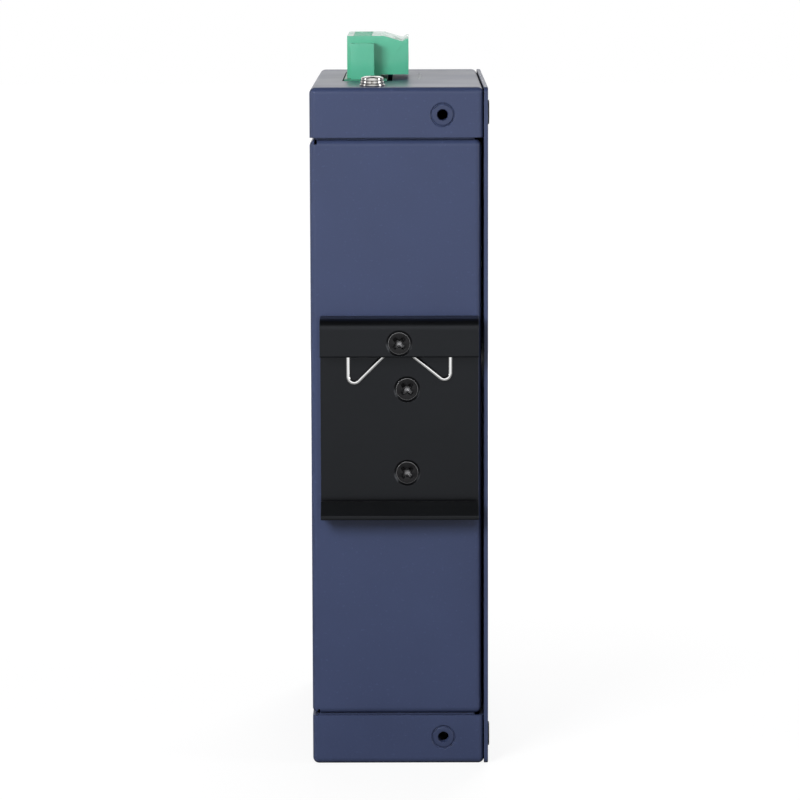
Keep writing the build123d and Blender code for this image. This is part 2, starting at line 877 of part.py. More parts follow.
def jack_housing():
    """Moulded block with a stepped socket for each port."""
    body = block((jack_low_x, jack_front, jack_bottom), (board_face, jack_back, jack_top))
    latch_reach = socket_start + socket_height + latch_height
    steps = [
        (socket_start + socket_height, socket_width),
        (latch_reach, latch_width),
        (latch_reach + latch_notch_height, latch_notch_width),
    ]
    for z, side in socket_places():
        for reach, width in steps:
            xs = sorted((jack_middle_x + side * socket_start, jack_middle_x + side * reach))
            body -= block(
                (xs[0], jack_front - seat_gap, z - width / 2),
                (xs[1], jack_front + socket_depth, z + width / 2),
            )
    return body


def jack_shield():
    """Thin folded shell round the port block, open at the ports and at the board."""
    outer = block(
        (jack_low_x - jack_shell, jack_front, jack_bottom - jack_shell),
        (board_face, jack_back + jack_shell, jack_top + jack_shell),
    )
    inner = block(
        (jack_low_x, jack_front - seat_gap, jack_bottom),
        (board_face + seat_gap, jack_back, jack_top),
    )
    return outer - inner


def jack_contacts():
    """Sloping contact springs, eight in each socket, fixed in the socket's end wall."""
    back = jack_front + socket_depth
    contacts = []
    for z, side in socket_places():
        low = jack_middle_x + side * (socket_start + seat_gap)
        high = jack_middle_x + side * (socket_start + contact_lift)
        outline = [
            (low, back),
            (low, back - contact_thickness),
            (high, back - contact_run),
            (high, back - contact_run + contact_thickness),
            (low + side * contact_thickness, back),
        ]
        for i in range(contact_count):
            middle = z + (i - (contact_count - 1) / 2) * contact_pitch
            corners = [(x, y, middle - contact_width / 2) for x, y in outline]
            face = make_face(Polyline(*corners, close=True))
            contacts.append(extrude(face, contact_width, dir=(0, 0, 1)))
    return group(contacts)


# Indicator lamps


def lamp_places(first_row, rows):
    """Two columns of lamps, from a row counted from the lowest."""
    heights = [lamp_bottom + (first_row + i + 0.5) * lamp_pitch for i in range(rows)]
    return [(x, z) for x in lamp_columns for z in heights]


def port_lamp_places():
    """One lamp for each port."""
    return lamp_places(0, port_lamp_rows)


def status_lamp_places():
    """Supply and alarm lamps above the port lamps."""
    return lamp_places(port_lamp_rows + free_lamp_rows, status_lamp_rows)


def lamps(places):
    """Domed lamps held behind the front plate by a flange."""
    angles = [radians(90 * step / lamp_dome_steps) for step in range(lamp_dome_steps)]
    outline = [(lamp_radius * sin(angle), lamp_dome * cos(angle)) for angle in angles]
    outline += [
        (lamp_radius, 0),
        (lamp_radius, -sheet),
        (lamp_flange_radius, -sheet),
        (lamp_flange_radius, -sheet - lamp_flange_height),
        (lamp_radius, -sheet - lamp_flange_height),
        (lamp_radius, -sheet - lamp_body),
        (0, -sheet - lamp_body),
    ]
    return group(seat((x, front_y, z), (0, -1, 0)) * turned(outline) for x, z in places)


# Board components


def on_board(place, size):
    """Block soldered on the board's component side."""
    y, z = place
    wide, tall, rise = size
    return block((board_face - rise, y - wide / 2, z - tall / 2), (board_face, y + wide / 2, z + tall / 2))


def switch_chip():
    """Flat chip package with bevelled top edges."""
    body = on_board(chip_place, (chip_size, chip_size, chip_rise))
    return chamfer(body.faces().sort_by(Axis.X)[0].edges(), chip_bevel)


def chip_heatsink():
    """Finned sink bonded on the chip."""
    y, z = chip_place
    base_face = board_face - chip_rise
    half = chip_size / 2
    body = block((base_face - sink_base, y - half, z - half), (base_face, y + half, z + half))
    spacing = (chip_size - sink_fin_thickness) / (sink_fin_count - 1)
    for i in range(sink_fin_count):
        low = y - half + i * spacing
        body += block(
            (base_face - sink_base - sink_fin_rise, low, z - half),
            (base_face - sink_base, low + sink_fin_thickness, z + half),
        )
    return body


def magnetics_modules():
    """Two line transformer modules, one for each four ports."""
    tall = (jack_length - 3 * component_gap) / 2
    offset = (tall + component_gap) / 2
    modules = []
    for z in (jack_middle_z - offset, jack_middle_z + offset):
        body = on_board((magnetics_y, z), (magnetics_width, tall, magnetics_rise))
        modules.append(chamfer(body.faces().sort_by(Axis.X)[0].edges(), magnetics_bevel))
    return group(modules)


def crystal():
    """Low can with rounded ends, above the chip."""
    body = on_board((chip_place[0], crystal_height), crystal_size)
    return fillet(body.edges().filter_by(Axis.X), crystal_round)


def capacitors():
    """Round capacitors in a row below the board's upper rear fixing."""
    groove_radius = capacitor_radius - capacitor_groove_depth
    outline = [
        (0, capacitor_rise),
        (capacitor_radius - capacitor_edge, capacitor_rise),
        (capacitor_radius, capacitor_rise - capacitor_edge),
        (capacitor_radius, capacitor_groove_high),
        (groove_radius, capacitor_groove_high),
        (groove_radius, capacitor_groove_low),
        (capacitor_radius, capacitor_groove_low),
        (capacitor_radius, 0),
        (0, 0),
    ]
    y = board_rear - capacitor_inset
    top = fixing_heights[1] - capacitor_drop
    heights = [top - i * capacitor_pitch for i in range(capacitor_count)]
    return group(seat((board_face, y, z), (-1, 0, 0)) * turned(outline) for z in heights)


def power_inductors():
    """Square coils with a round core, above the port block."""
    start = board_face - inductor_size[2]
    coils = []
    for y in inductor_ys:
        body = on_board((y, supply_height), inductor_size)
        body = chamfer(body.edges().filter_by(Axis.X), inductor_corner)
        foot = (start, y, supply_height)
        groove = rod(foot, (1, 0, 0), inductor_groove, inductor_core_radius)
        groove -= rod(foot, (1, 0, 0), inductor_groove, inductor_core_radius - inductor_groove)
        coils.append(body - groove)
    return group(coils)


def alarm_relay():
    """Sealed relay that switches the alarm contact."""
    body = on_board((board_rear - relay_inset, header_bottom - relay_drop), relay_size)
    return fillet(body.faces().sort_by(Axis.X)[0].edges(), relay_edge)


def regulators():
    """Two supply regulators."""
    return group(on_board((y, supply_height), regulator_size) for y in regulator_ys)


def memory_chip():
    """Small memory package above the crystal."""
    return on_board((chip_place[0], memory_height), memory_size)


nodes = {
    "chassis": chassis(),
    "wrap": wrap(),
    "side_cover": side_cover(),
    "cover_screws": cover_screws(),
    "wall_mount_nuts": wall_mount_nuts(),
    "din_clip": din_clip(),
    "clip_screws": clip_screws(),
    "clip_nuts": clip_nuts(),
    "spring_screw": spring_screw(),
    "spring_wire": spring_wire(),
    "plug_body": plug_body(),
    "plug_clamps": plug_clamps(),
    "plug_clamp_screws": plug_clamp_screws(),
    "plug_flange_screws": plug_flange_screws(),
    "header_body": header_body(),
    "header_bushes": header_bushes(),
    "header_pins": header_pins(),
    "earth_screw": earth_screw(),
    "earth_spring_washer": earth_spring_washer(),
    "earth_flat_washer": earth_flat_washer(),
    "earth_nut": earth_nut(),
    "main_board": main_board(),
    "board_standoffs": board_standoffs(),
    "board_screws": board_screws(),
    "jack_housing": jack_housing(),
    "jack_shield": jack_shield(),
    "jack_contacts": jack_contacts(),
    "port_lamps": lamps(port_lamp_places()),
    "status_lamps": lamps(status_lamp_places()),
    "switch_chip": switch_chip(),
    "chip_heatsink": chip_heatsink(),
    "magnetics_modules": magnetics_modules(),
    "crystal": crystal(),
    "capacitors": capacitors(),
    "power_inductors": power_inductors(),
    "alarm_relay": alarm_relay(),
    "regulators": regulators(),
    "memory_chip": memory_chip(),
}

os.makedirs("parts", exist_ok=True)
for name, solid in nodes.items():
    export_step(solid, f"parts/{name}.step")
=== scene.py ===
import math

import bmesh
import bpy
from bpy.props import FloatProperty, FloatVectorProperty, IntProperty, PointerProperty
from mathutils import Matrix, Vector


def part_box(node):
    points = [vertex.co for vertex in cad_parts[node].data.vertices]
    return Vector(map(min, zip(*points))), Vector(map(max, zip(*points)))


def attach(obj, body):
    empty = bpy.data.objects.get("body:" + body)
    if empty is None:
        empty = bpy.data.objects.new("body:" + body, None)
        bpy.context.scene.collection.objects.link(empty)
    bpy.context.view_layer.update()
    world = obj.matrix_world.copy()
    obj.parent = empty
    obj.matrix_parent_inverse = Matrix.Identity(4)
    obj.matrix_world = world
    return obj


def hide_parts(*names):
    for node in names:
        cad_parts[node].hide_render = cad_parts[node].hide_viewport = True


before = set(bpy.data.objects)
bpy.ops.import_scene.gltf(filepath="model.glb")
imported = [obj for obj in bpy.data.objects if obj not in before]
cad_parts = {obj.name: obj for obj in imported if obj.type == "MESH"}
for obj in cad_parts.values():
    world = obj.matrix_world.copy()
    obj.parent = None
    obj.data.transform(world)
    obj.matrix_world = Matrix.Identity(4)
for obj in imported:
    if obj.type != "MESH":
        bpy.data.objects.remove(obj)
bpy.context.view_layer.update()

bl_info = {
    "name": "Rail switch looks",
    "version": (1, 0, 0),
    "blender": (4, 5, 0),
    "location": "3D View > Sidebar > Rail switch",
    "description": "Dresses the packed rail-mounted network switch and sets its stage",
    "category": "Object",
}

MM = 0.001

# Places taken from the frame, and the thickness of the case's sheet

CASE_LOW, CASE_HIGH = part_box("chassis")
PLUG_LOW, PLUG_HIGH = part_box("plug_body")
SHEET = 1.0 * MM


def middle_of(node):
    """Middle of a CAD node's box."""
    low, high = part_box(node)
    return (low + high) / 2


# Sizes and colours that a user would change


def length(label, about, default):
    """Length property, with its default in millimetres."""
    return FloatProperty(name=label, description=about, default=default * MM, unit="LENGTH", precision=5)


def angle(label, about, default):
    """Angle property, with its default in degrees."""
    return FloatProperty(name=label, description=about, default=math.radians(default), subtype="ANGLE")


def share(label, about, default):
    """Number from 0 to 1."""
    return FloatProperty(name=label, description=about, default=default, min=0, max=1, subtype="FACTOR")


def level(label, about, default):
    """Number that isn't negative."""
    return FloatProperty(name=label, description=about, default=default, min=0)


def colour(label, about, default):
    """Colour property."""
    return FloatVectorProperty(
        name=label, description=about, default=default, min=0, max=1, size=3, subtype="COLOR"
    )


def spot(label, about, default):
    """Place in metres."""
    return FloatVectorProperty(name=label, description=about, default=default, subtype="TRANSLATION")


class CaseLook(bpy.types.PropertyGroup):
    """Powder coat of the folded case."""

    paint: colour("Paint", "Colour of the powder coat", (0.044, 0.060, 0.132))
    roughness: share("Roughness", "Roughness of the coat", 0.34)
    grain: length("Grain", "Width of one grain of the coat", 0.55)
    grain_depth: length("Grain depth", "Depth of the coat's grain", 0.012)
    edge: length("Edge rounding", "Rounding that the coat gives to cut edges", 0.16)
    print_height: length("Print height", "Height of the printed pole numbers", 2.3)
    print_lift: length("Print lift", "Thickness of the printed ink", 0.015)
    print_gap: length("Print gap", "Gap from the plug to the pole numbers", 1.0)


class ClipLook(bpy.types.PropertyGroup):
    """Black anodised rail clip."""

    tint: colour("Tint", "Colour of the anodised skin", (0.0020, 0.0022, 0.0026))
    roughness: share("Roughness", "Roughness of the anodised skin", 0.34)
    line_width: length("Line width", "Width of the fine lines left by the die", 0.09)
    line_length: length("Line length", "Length of the fine lines left by the die", 14.0)
    edge: length("Edge rounding", "Rounding of the sawn and extruded edges", 0.14)


class ScrewLook(bpy.types.PropertyGroup):
    """Countersunk screws with a crossed recess."""

    oxide: colour("Oxide", "Colour of the black oxide", (0.009, 0.009, 0.010))
    # Steel shown on the rim ring and low in the recess, where it paints highlights.
    steel: colour("Steel", "Colour of the steel where the oxide is worn", (0.34, 0.34, 0.35))
    rim: length("Rim", "Bevel round the head", 0.10)
    reach: length("Recess reach", "Half length of the crossed recess at the face", 1.48)
    width: length("Recess width", "Width of a recess arm at the face", 0.66)
    depth: length("Recess depth", "Depth of the crossed recess", 1.05)
    shank: length("Shank", "Radius of the threaded shank", 1.5)
    pitch: length("Thread pitch", "Height of one thread", 0.5)


class WireLook(bpy.types.PropertyGroup):
    """Bent spring wire in the clip's hook."""

    steel: colour("Steel", "Colour of the polished wire", (0.93, 0.93, 0.93))
    radius: length("Radius", "Radius of the wire", 0.425)
    bend: length("Bend", "Radius of the low bends", 1.2)
    arch: length("Arch", "Half width of the arch over the screw", 2.025)
    shoulder_left: length("Left shoulder", "Drop of the left shoulder below the screw", 1.88)
    shoulder_right: length("Right shoulder", "Drop of the right shoulder below the screw", 2.39)
    slope_left: angle("Left slope", "Left diagonal", 45)
    slope_right: angle("Right slope", "Right diagonal", 51)


class InsertLook(bpy.types.PropertyGroup):
    """Painted nuts pressed in the rear bands."""

    bore: length("Bore", "Radius of the tapped bore", 1.0)
    face: length("Face", "Radius of the face in the panel", 2.44)
    sink: length("Sink", "Depth of the face below the panel", 0.04)
    rim: length("Rim", "Width and depth of the paint-filled groove round the face", 0.24)
    pitch: length("Thread pitch", "Height of one thread", 0.5)


class PlugLook(bpy.types.PropertyGroup):
    """Green screw plug on top."""

    resin: colour("Resin", "Colour of the moulded resin", (0.105, 0.500, 0.320))
    roughness: share("Roughness", "Roughness of the moulded skin", 0.14)
    poles: IntProperty(name="Poles", description="Number of wire entries", default=6, min=2)
    pitch: length("Pole pitch", "Spacing of the wire entries", 5.08)
    ear: length("Ear length", "Length of each end ear", 5.08)
    edge: length("Edge rounding", "Rounding of the moulded edges", 0.22)
    entry_length: length("Entry length", "Length of a wire entry across the plug", 3.8)
    entry_width: length("Entry width", "Width of a wire entry along the plug", 3.2)
    funnel: length("Funnel", "Depth and reach of the wire entry's funnel", 0.3)
    groove: length("Groove", "Width of the grooves between poles", 0.34)


class EarthLook(bpy.types.PropertyGroup):
    """Plated earth screw with two washers."""

    plate: colour("Plating", "Colour of the plating", (0.66, 0.65, 0.63))
    edge: length("Edge rounding", "Rounding of the washers' edges", 0.13)


class LampLook(bpy.types.PropertyGroup):
    """Indicator lamps on the front."""

    lens: colour("Lens", "Colour of the unlit lens", (0.50, 0.66, 0.46))
    radius: length("Radius", "Radius of a lens", 1.5)
    dome: length("Dome", "Height of a lens above the panel", 1.1)
    body: length("Body", "Depth of a lamp behind the panel", 4.0)


class StageLook(bpy.types.PropertyGroup):
    """Floor, lamps and camera."""

    camera: spot("Camera", "Place of the camera", (-0.0030, 0.7659, 0.1678))
    aim: spot("Aim", "Point on the camera's axis", (-0.0001, 0.0439, 0.0734))
    lens: level("Lens", "Focal length in millimetres", 165.9)
    roll: angle("Roll", "Turn of the camera", -0.17)
    sky: level("Sky", "Strength of the even light", 0.22)
    mirrored_sky: level("Mirrored sky", "The same in reflections", 0.50)
    horizon: level("Horizon", "Mirrored light close to the horizon", 1.12)
    zenith: share("Zenith", "Share of the even light that comes from overhead", 0.1)
    sides: share("Sides", "Share of the mirrored light that is left at the sides", 0.3)
    floor: colour("Floor", "Colour of the floor", (0.18, 0.18, 0.18))
    floor_glow: level("Floor glow", "Light that the camera sees on the floor", 0.86)
    floor_mirror_near: level("Near mirrored glow", "Mirrored light of the floor by the switch", 0.15)
    floor_mirror_far: level("Far mirrored glow", "Mirrored light of the floor away from it", 1.0)


LOOKS = {
    "switch_case": CaseLook,
    "switch_clip": ClipLook,
    "switch_screws": ScrewLook,
    "switch_wire": WireLook,
    "switch_inserts": InsertLook,
    "switch_plug": PlugLook,
    "switch_earth": EarthLook,
    "switch_lamps": LampLook,
    "switch_stage": StageLook,
}


# Node helpers

FLOAT = "NodeSocketFloat"
VECTOR = "NodeSocketVector"
INTEGER = "NodeSocketInt"
GEOMETRY = "NodeSocketGeometry"
MATERIAL = "NodeSocketMaterial"


def place(tree, kind, inputs=None, **settings):
    """Adds a node, applies its settings and sets or joins its inputs."""
    node = tree.nodes.new(kind)
    for name, value in settings.items():
        setattr(node, name, value)
    for key, value in (inputs or {}).items():
        feed_socket(tree, node.inputs[key], value)
    return node


def feed_socket(tree, socket, value):
    """Joins another socket to a socket, or sets its value."""
    if isinstance(value, bpy.types.NodeSocket):
        tree.links.new(value, socket)
    else:
        socket.default_value = value


def math_of(tree, operation, first, second=0.0):
    """Output of a Math node."""
    return place(tree, "ShaderNodeMath", {0: first, 1: second}, operation=operation).outputs[0]


def vector_math(tree, operation, *vectors):
    """Outputs of a Vector Math node."""
    return place(tree, "ShaderNodeVectorMath", dict(enumerate(vectors)), operation=operation).outputs


def ranged(tree, value, low, high, new_low, new_high):
    """Output of a clamped Map Range node."""
    inputs = {"Value": value, "From Min": low, "From Max": high, "To Min": new_low, "To Max": new_high}
    return place(tree, "ShaderNodeMapRange", inputs).outputs["Result"]


def opaque(value):
    """Colour with its alpha, or a socket as it is."""
    return value if isinstance(value, bpy.types.NodeSocket) else (*value, 1.0)


def toned(value, factor):
    """Colour made lighter or darker."""
    return tuple(min(1.0, part * factor) for part in value)


def shared_group(name, kind, inputs, outputs, fill):
    """Node group with named sockets, made and filled once."""
    if name in bpy.data.node_groups:
        return bpy.data.node_groups[name]
    tree = bpy.data.node_groups.new(name, kind)
    for label, socket_type, default in inputs:
        socket = tree.interface.new_socket(label, in_out="INPUT", socket_type=socket_type)
        if default is not None:
            socket.default_value = default
    for label, socket_type in outputs:
        tree.interface.new_socket(label, in_out="OUTPUT", socket_type=socket_type)
    fill(tree, tree.nodes.new("NodeGroupInput").outputs, tree.nodes.new("NodeGroupOutput").inputs)
    return tree


# Shader groups that several finishes share


def grain_group():
    """Fine even grain, and a slow change of tone over the surface."""

    def fill(tree, start, end):
        for size, detail, out in (("Size", 3.0, "Height"), ("Cloud Size", 4.0, "Tone")):
            scale = math_of(tree, "DIVIDE", 1.0, start[size])
            inputs = {"Vector": start["Vector"], "Scale": scale, "Detail": detail}
            tree.links.new(place(tree, "ShaderNodeTexNoise", inputs).outputs[0], end[out])

    inputs = [("Vector", VECTOR, None), ("Size", FLOAT, 0.5 * MM), ("Cloud Size", FLOAT, 25 * MM)]
    return shared_group("Fine grain", "ShaderNodeTree", inputs, [("Height", FLOAT), ("Tone", FLOAT)], fill)


def line_group():
    """Fine lines drawn along one direction."""

    def fill(tree, start, end):
        scaled = vector_math(tree, "DIVIDE", start["Vector"], start["Spacing"])[0]
        noise = place(tree, "ShaderNodeTexNoise", {"Vector": scaled, "Scale": 1.0, "Detail": 5.0})
        tree.links.new(noise.outputs[0], end["Height"])

    inputs = [("Vector", VECTOR, None), ("Spacing", VECTOR, (1.0, 1.0, 1.0))]
    return shared_group("Drawn lines", "ShaderNodeTree", inputs, [("Height", FLOAT)], fill)


def edge_group():
    """Rounded normal near edges, and a mask of those edges."""

    def fill(tree, start, end):
        rounded = place(tree, "ShaderNodeBevel", {"Radius": start["Radius"]}, samples=6).outputs[0]
        flat = place(tree, "ShaderNodeNewGeometry").outputs["Normal"]
        cosine = vector_math(tree, "DOT_PRODUCT", rounded, flat)["Value"]
        unturned, fully_turned = 1.0, 0.8
        tree.links.new(rounded, end["Normal"])
        tree.links.new(ranged(tree, cosine, unturned, fully_turned, 0.0, 1.0), end["Mask"])

    outputs = [("Normal", VECTOR), ("Mask", FLOAT)]
    return shared_group("Soft edge", "ShaderNodeTree", [("Radius", FLOAT, 0.15 * MM)], outputs, fill)


def crevice_painted_shade_group():
    """Mask of narrow gaps, where little light reaches, from ambient occlusion; a colour darkened by it is
    painted shade.
    """

    def fill(tree, start, end):
        inputs = {"Distance": start["Reach"]}
        seen = place(tree, "ShaderNodeAmbientOcclusion", inputs, samples=8).outputs["AO"]
        tree.links.new(ranged(tree, seen, start["Open"], start["Closed"], 0.0, 1.0), end["Mask"])

    inputs = [("Reach", FLOAT, 1.0 * MM), ("Open", FLOAT, 0.42), ("Closed", FLOAT, 0.15)]
    return shared_group("Narrow gaps, painted shade", "ShaderNodeTree", inputs, [("Mask", FLOAT)], fill)


# Finishes


class Finish:
    """Material with one Principled BSDF, and the helpers that feed it."""

    def __init__(self, name, **plain):
        """Makes the material and sets the values that are the same all over it."""
        self.material = bpy.data.materials.new(name)
        self.material.use_nodes = True
        self.tree = self.material.node_tree
        self.tree.nodes.clear()
        self.shader = place(self.tree, "ShaderNodeBsdfPrincipled")
        place(self.tree, "ShaderNodeOutputMaterial", {"Surface": self.shader.outputs[0]})
        self.where = place(self.tree, "ShaderNodeTexCoord").outputs["Object"]
        self.feed(**plain)

    def feed(self, **values):
        """Joins sockets or sets values on the shader, with words joined by an underscore."""
        for key, value in values.items():
            feed_socket(self.tree, self.shader.inputs[key.replace("_", " ")], value)

    def group(self, tree, inputs):
        """Outputs of a shared group placed in this material."""
        return place(self.tree, "ShaderNodeGroup", inputs, node_tree=tree).outputs

    def grain(self, size, cloud):
        """Height of a fine grain, and a slow tone."""
        return self.group(grain_group(), {"Vector": self.where, "Size": size, "Cloud Size": cloud})

    def lines(self, *spacing):
        """Height of fine lines with a spacing along each axis."""
        return self.group(line_group(), {"Vector": self.where, "Spacing": spacing})["Height"]

    def edge(self, radius):
        """Rounded normal and mask of the edges."""
        return self.group(edge_group(), {"Radius": radius})

    def ranged(self, value, low, high, new_low, new_high):
        """Value moved to another range and kept within it."""
        return ranged(self.tree, value, low, high, new_low, new_high)

    def spread(self, noise, low=0.0, high=1.0):
        """Noise drawn out over a range: most of it lies between 0.3 and 0.7."""
        return self.ranged(noise, 0.3, 0.7, low, high)

    def part_of(self, mask, factor):
        """Mask made weaker by a factor or another mask."""
        return math_of(self.tree, "MULTIPLY", mask, factor)

    def blend(self, mask, first, second):
        """Colour between two colours by a mask."""
        factor, colour_a, colour_b, result = 0, 6, 7, 2
        inputs = {factor: mask, colour_a: opaque(first), colour_b: opaque(second)}
        return place(self.tree, "ShaderNodeMix", inputs, data_type="RGBA").outputs[result]

    def bump(self, height, depth, normal=None):
        """Normal from a height, over another normal if one is given."""
        inputs = {"Height": height, "Distance": depth, "Strength": 1.0}
        if normal is not None:
            inputs["Normal"] = normal
        return place(self.tree, "ShaderNodeBump", inputs).outputs[0]


def powder_coat(name, look, shade=1.0):
    """Dark blue powder coat: fine grain, slow change of tone, a painted highlight along the edges, and
    painted shade with a matt coat in the seams.
    """
    finish = Finish(name, Specular_IOR_Level=0.42)
    grain = finish.grain(look.grain, cloud=22 * MM)
    edge = finish.edge(look.edge)
    paint = toned(look.paint, shade)
    body = finish.blend(finish.spread(grain["Tone"]), toned(paint, 0.94), toned(paint, 1.07))
    speck = finish.ranged(grain["Height"], 0.62, 0.74, 0.0, 0.35)
    flecked = finish.blend(speck, body, toned(paint, 1.7))
    # Edges are lightened in colour: a painted highlight along them.
    edge_highlighted = finish.blend(finish.part_of(edge["Mask"], 0.30), flecked, toned(paint, 2.0))
    # The gap mask darkens the paint in seams and crevices, which is painted shade, and makes the coat matt
    # there.
    gap = finish.group(crevice_painted_shade_group(), {"Reach": 1.1 * MM})["Mask"]
    shaded = finish.blend(gap, edge_highlighted, toned(paint, 0.1))
    coat = finish.spread(grain["Tone"], look.roughness - 0.03, look.roughness + 0.05)
    rough = finish.ranged(gap, 0.0, 1.0, coat, 0.95)
    normal = finish.bump(grain["Height"], look.grain_depth, edge["Normal"])
    finish.feed(Base_Color=shaded, Roughness=rough, Normal=normal)
    return finish.material


def anodised(name, look):
    """Black anodised extrusion with fine die lines along its length, dust specks, and a painted highlight
    along its edges.
    """
    finish = Finish(name, Specular_IOR_Level=0.40, Specular_Tint=(0.86, 0.91, 1.0, 1.0))
    lines = finish.lines(look.line_length, look.line_width, look.line_width)
    grain = finish.grain(0.18 * MM, cloud=9 * MM)
    edge = finish.edge(look.edge)
    # The lighter grey at the edges is a painted highlight.
    painted_edge_highlight = (0.05, 0.052, 0.056)
    skin = finish.blend(finish.spread(grain["Tone"]), toned(look.tint, 0.85), toned(look.tint, 1.2))
    speck = finish.ranged(grain["Height"], 0.66, 0.76, 0.0, 0.5)
    dusty = finish.blend(speck, skin, toned(look.tint, 3.0))
    edge_highlighted = finish.blend(finish.part_of(edge["Mask"], 0.6), dusty, painted_edge_highlight)
    rough = finish.spread(lines, look.roughness - 0.04, look.roughness + 0.06)
    finish.feed(Base_Color=edge_highlighted, Roughness=rough, Normal=finish.bump(lines, 0.0022 * MM, edge["Normal"]))
    return finish.material


def metal(name, tint, roughness, stain=0.08, edge=0.0):
    """Bare or plated metal with stains of tone and roughness, and rounded edges where an edge is given."""
    finish = Finish(name, Metallic=1.0)
    grain = finish.grain(0.12 * MM, cloud=2.5 * MM)
    shade = finish.blend(finish.spread(grain["Tone"]), toned(tint, 1 - stain), toned(tint, 1 + stain / 2))
    rough = finish.spread(grain["Height"], max(0.02, roughness - 0.04), roughness + 0.06)
    finish.feed(Base_Color=shade, Roughness=rough)
    if edge:
        finish.feed(Normal=finish.edge(edge)["Normal"])
    return finish.material


def moulded(name, tint, roughness, edge=0.08 * MM):
    """Moulded resin: faint flow tone, fine spark-eroded skin, softened edges and a painted highlight along
    them.
    """
    finish = Finish(name, Specular_IOR_Level=0.5)
    grain = finish.grain(0.3 * MM, cloud=7 * MM)
    soft = finish.edge(edge)
    body = finish.blend(finish.spread(grain["Tone"]), toned(tint, 0.95), toned(tint, 1.05))
    # The edges are lightened in colour: a painted highlight.
    highlight_painted = finish.blend(finish.part_of(soft["Mask"], 0.25), body, toned(tint, 1.35))
    rough = finish.spread(grain["Tone"], roughness - 0.04, roughness + 0.05)
    normal = finish.bump(grain["Height"], 0.004 * MM, soft["Normal"])
    finish.feed(Base_Color=highlight_painted, Roughness=rough, Normal=normal)
    return finish.material


def black_oxide(name, look):
    """Blackened steel that turns to uncoated steel where the piece's marked attribute is 1, to paint
    highlights and glints.
    """
    finish = Finish(name, Specular_IOR_Level=0.22)
    highlight_painted = place(finish.tree, "ShaderNodeAttribute", attribute_name="painted_glint").outputs["Fac"]
    grain = finish.grain(0.12 * MM, cloud=1.6 * MM)
    glint_steel_mask = finish.part_of(highlight_painted, finish.ranged(grain["Tone"], 0.35, 0.65, 0.55, 1.0))
    rough = finish.spread(grain["Height"], 0.22, 0.34)
    finish.feed(Base_Color=finish.blend(glint_steel_mask, look.oxide, look.steel), Metallic=glint_steel_mask, Roughness=rough)
    finish.feed(Normal=finish.bump(grain["Height"], 0.003 * MM))
    return finish.material


def laminate(name):
    """Green solder mask with copper tracks showing through as lighter bands."""
    finish = Finish(name, Roughness=0.3)
    track_length, track_width = 9 * MM, 0.8 * MM
    along = finish.lines(1.0, track_length, track_width)
    upward = finish.lines(1.0, track_width, track_length)
    mask = finish.ranged(math_of(finish.tree, "MAXIMUM", along, upward), 0.56, 0.58, 0.0, 1.0)
    finish.feed(Base_Color=finish.blend(mask, (0.012, 0.075, 0.035), (0.03, 0.15, 0.07)))
    finish.feed(Normal=finish.bump(mask, 0.03 * MM))
    return finish.material


def lens_resin(name, look):
    """Diffused lamp lens with a slow change of tone."""
    finish = Finish(name, Transmission_Weight=0.35, IOR=1.49)
    grain = finish.grain(0.1 * MM, cloud=1.2 * MM)
    body = finish.blend(grain["Tone"], toned(look.lens, 0.8), toned(look.lens, 1.25))
    finish.feed(Base_Color=body, Roughness=finish.spread(grain["Height"], 0.16, 0.26))
    return finish.material


def ink(name, tint):
    """Screen-printed ink with a slightly broken surface."""
    finish = Finish(name)
    grain = finish.grain(0.08 * MM, cloud=1.5 * MM)
    body = finish.blend(grain["Height"], toned(tint, 0.8), tint)
    finish.feed(Base_Color=body, Roughness=finish.spread(grain["Tone"], 0.30, 0.42))
    return finish.material


def refinish(mesh, material):
    """Makes a finish the only one of a mesh."""
    mesh.materials.clear()
    mesh.materials.append(material)


def dress(node, material):
    """Gives a CAD node its finish."""
    refinish(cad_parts[node].data, material)


# Mesh helpers


def mesh_piece(name, shape, material=None):
    """Object at the origin from a finished bmesh."""
    mesh = bpy.data.meshes.new(name)
    shape.to_mesh(mesh)
    shape.free()
    piece = bpy.data.objects.new(name, mesh)
    bpy.context.scene.collection.objects.link(piece)
    if material is not None:
        mesh.materials.append(material)
    return piece


def rounded_line(points, radii, steps=8):
    """Points of a line whose corners are rounded; a radius of 0 keeps the corner sharp."""
    line = []
    last = len(points) - 1
    for i, (point, radius) in enumerate(zip(points, radii)):
        if radius == 0 or i in (0, last):
            line.append(point)
            continue
        back = (points[i - 1] - point).normalized()
        ahead = (points[i + 1] - point).normalized()
        half = back.angle(ahead) / 2
        centre = point + (back + ahead).normalized() * (radius / math.sin(half))
        reach = radius / math.tan(half)
        start = point + back * reach - centre
        stop = point + ahead * reach - centre
        line += [centre + start.slerp(stop, step / steps) * radius for step in range(steps + 1)]
    return line


def rounded_outline(corners, steps=5):
    """(radius, height) outline from (radius, height, rounding) corners."""
    points = [Vector((radius, 0, height)) for radius, height, _ in corners]
    line = rounded_line(points, [rounding for _, _, rounding in corners], steps)
    return [(point.x if point.x > 1e-9 else 0.0, point.z) for point in line]


def join_rings(shape, upper, lower):
    """Faces between two closed rings of vertices; a ring of one vertex is a pole."""
    count = max(len(upper), len(lower))
    for i in range(count):
        j = (i + 1) % count
        corners = [upper[i % len(upper)], upper[j % len(upper)], lower[j % len(lower)], lower[i % len(lower)]]
        shape.faces.new(list(dict.fromkeys(corners)))


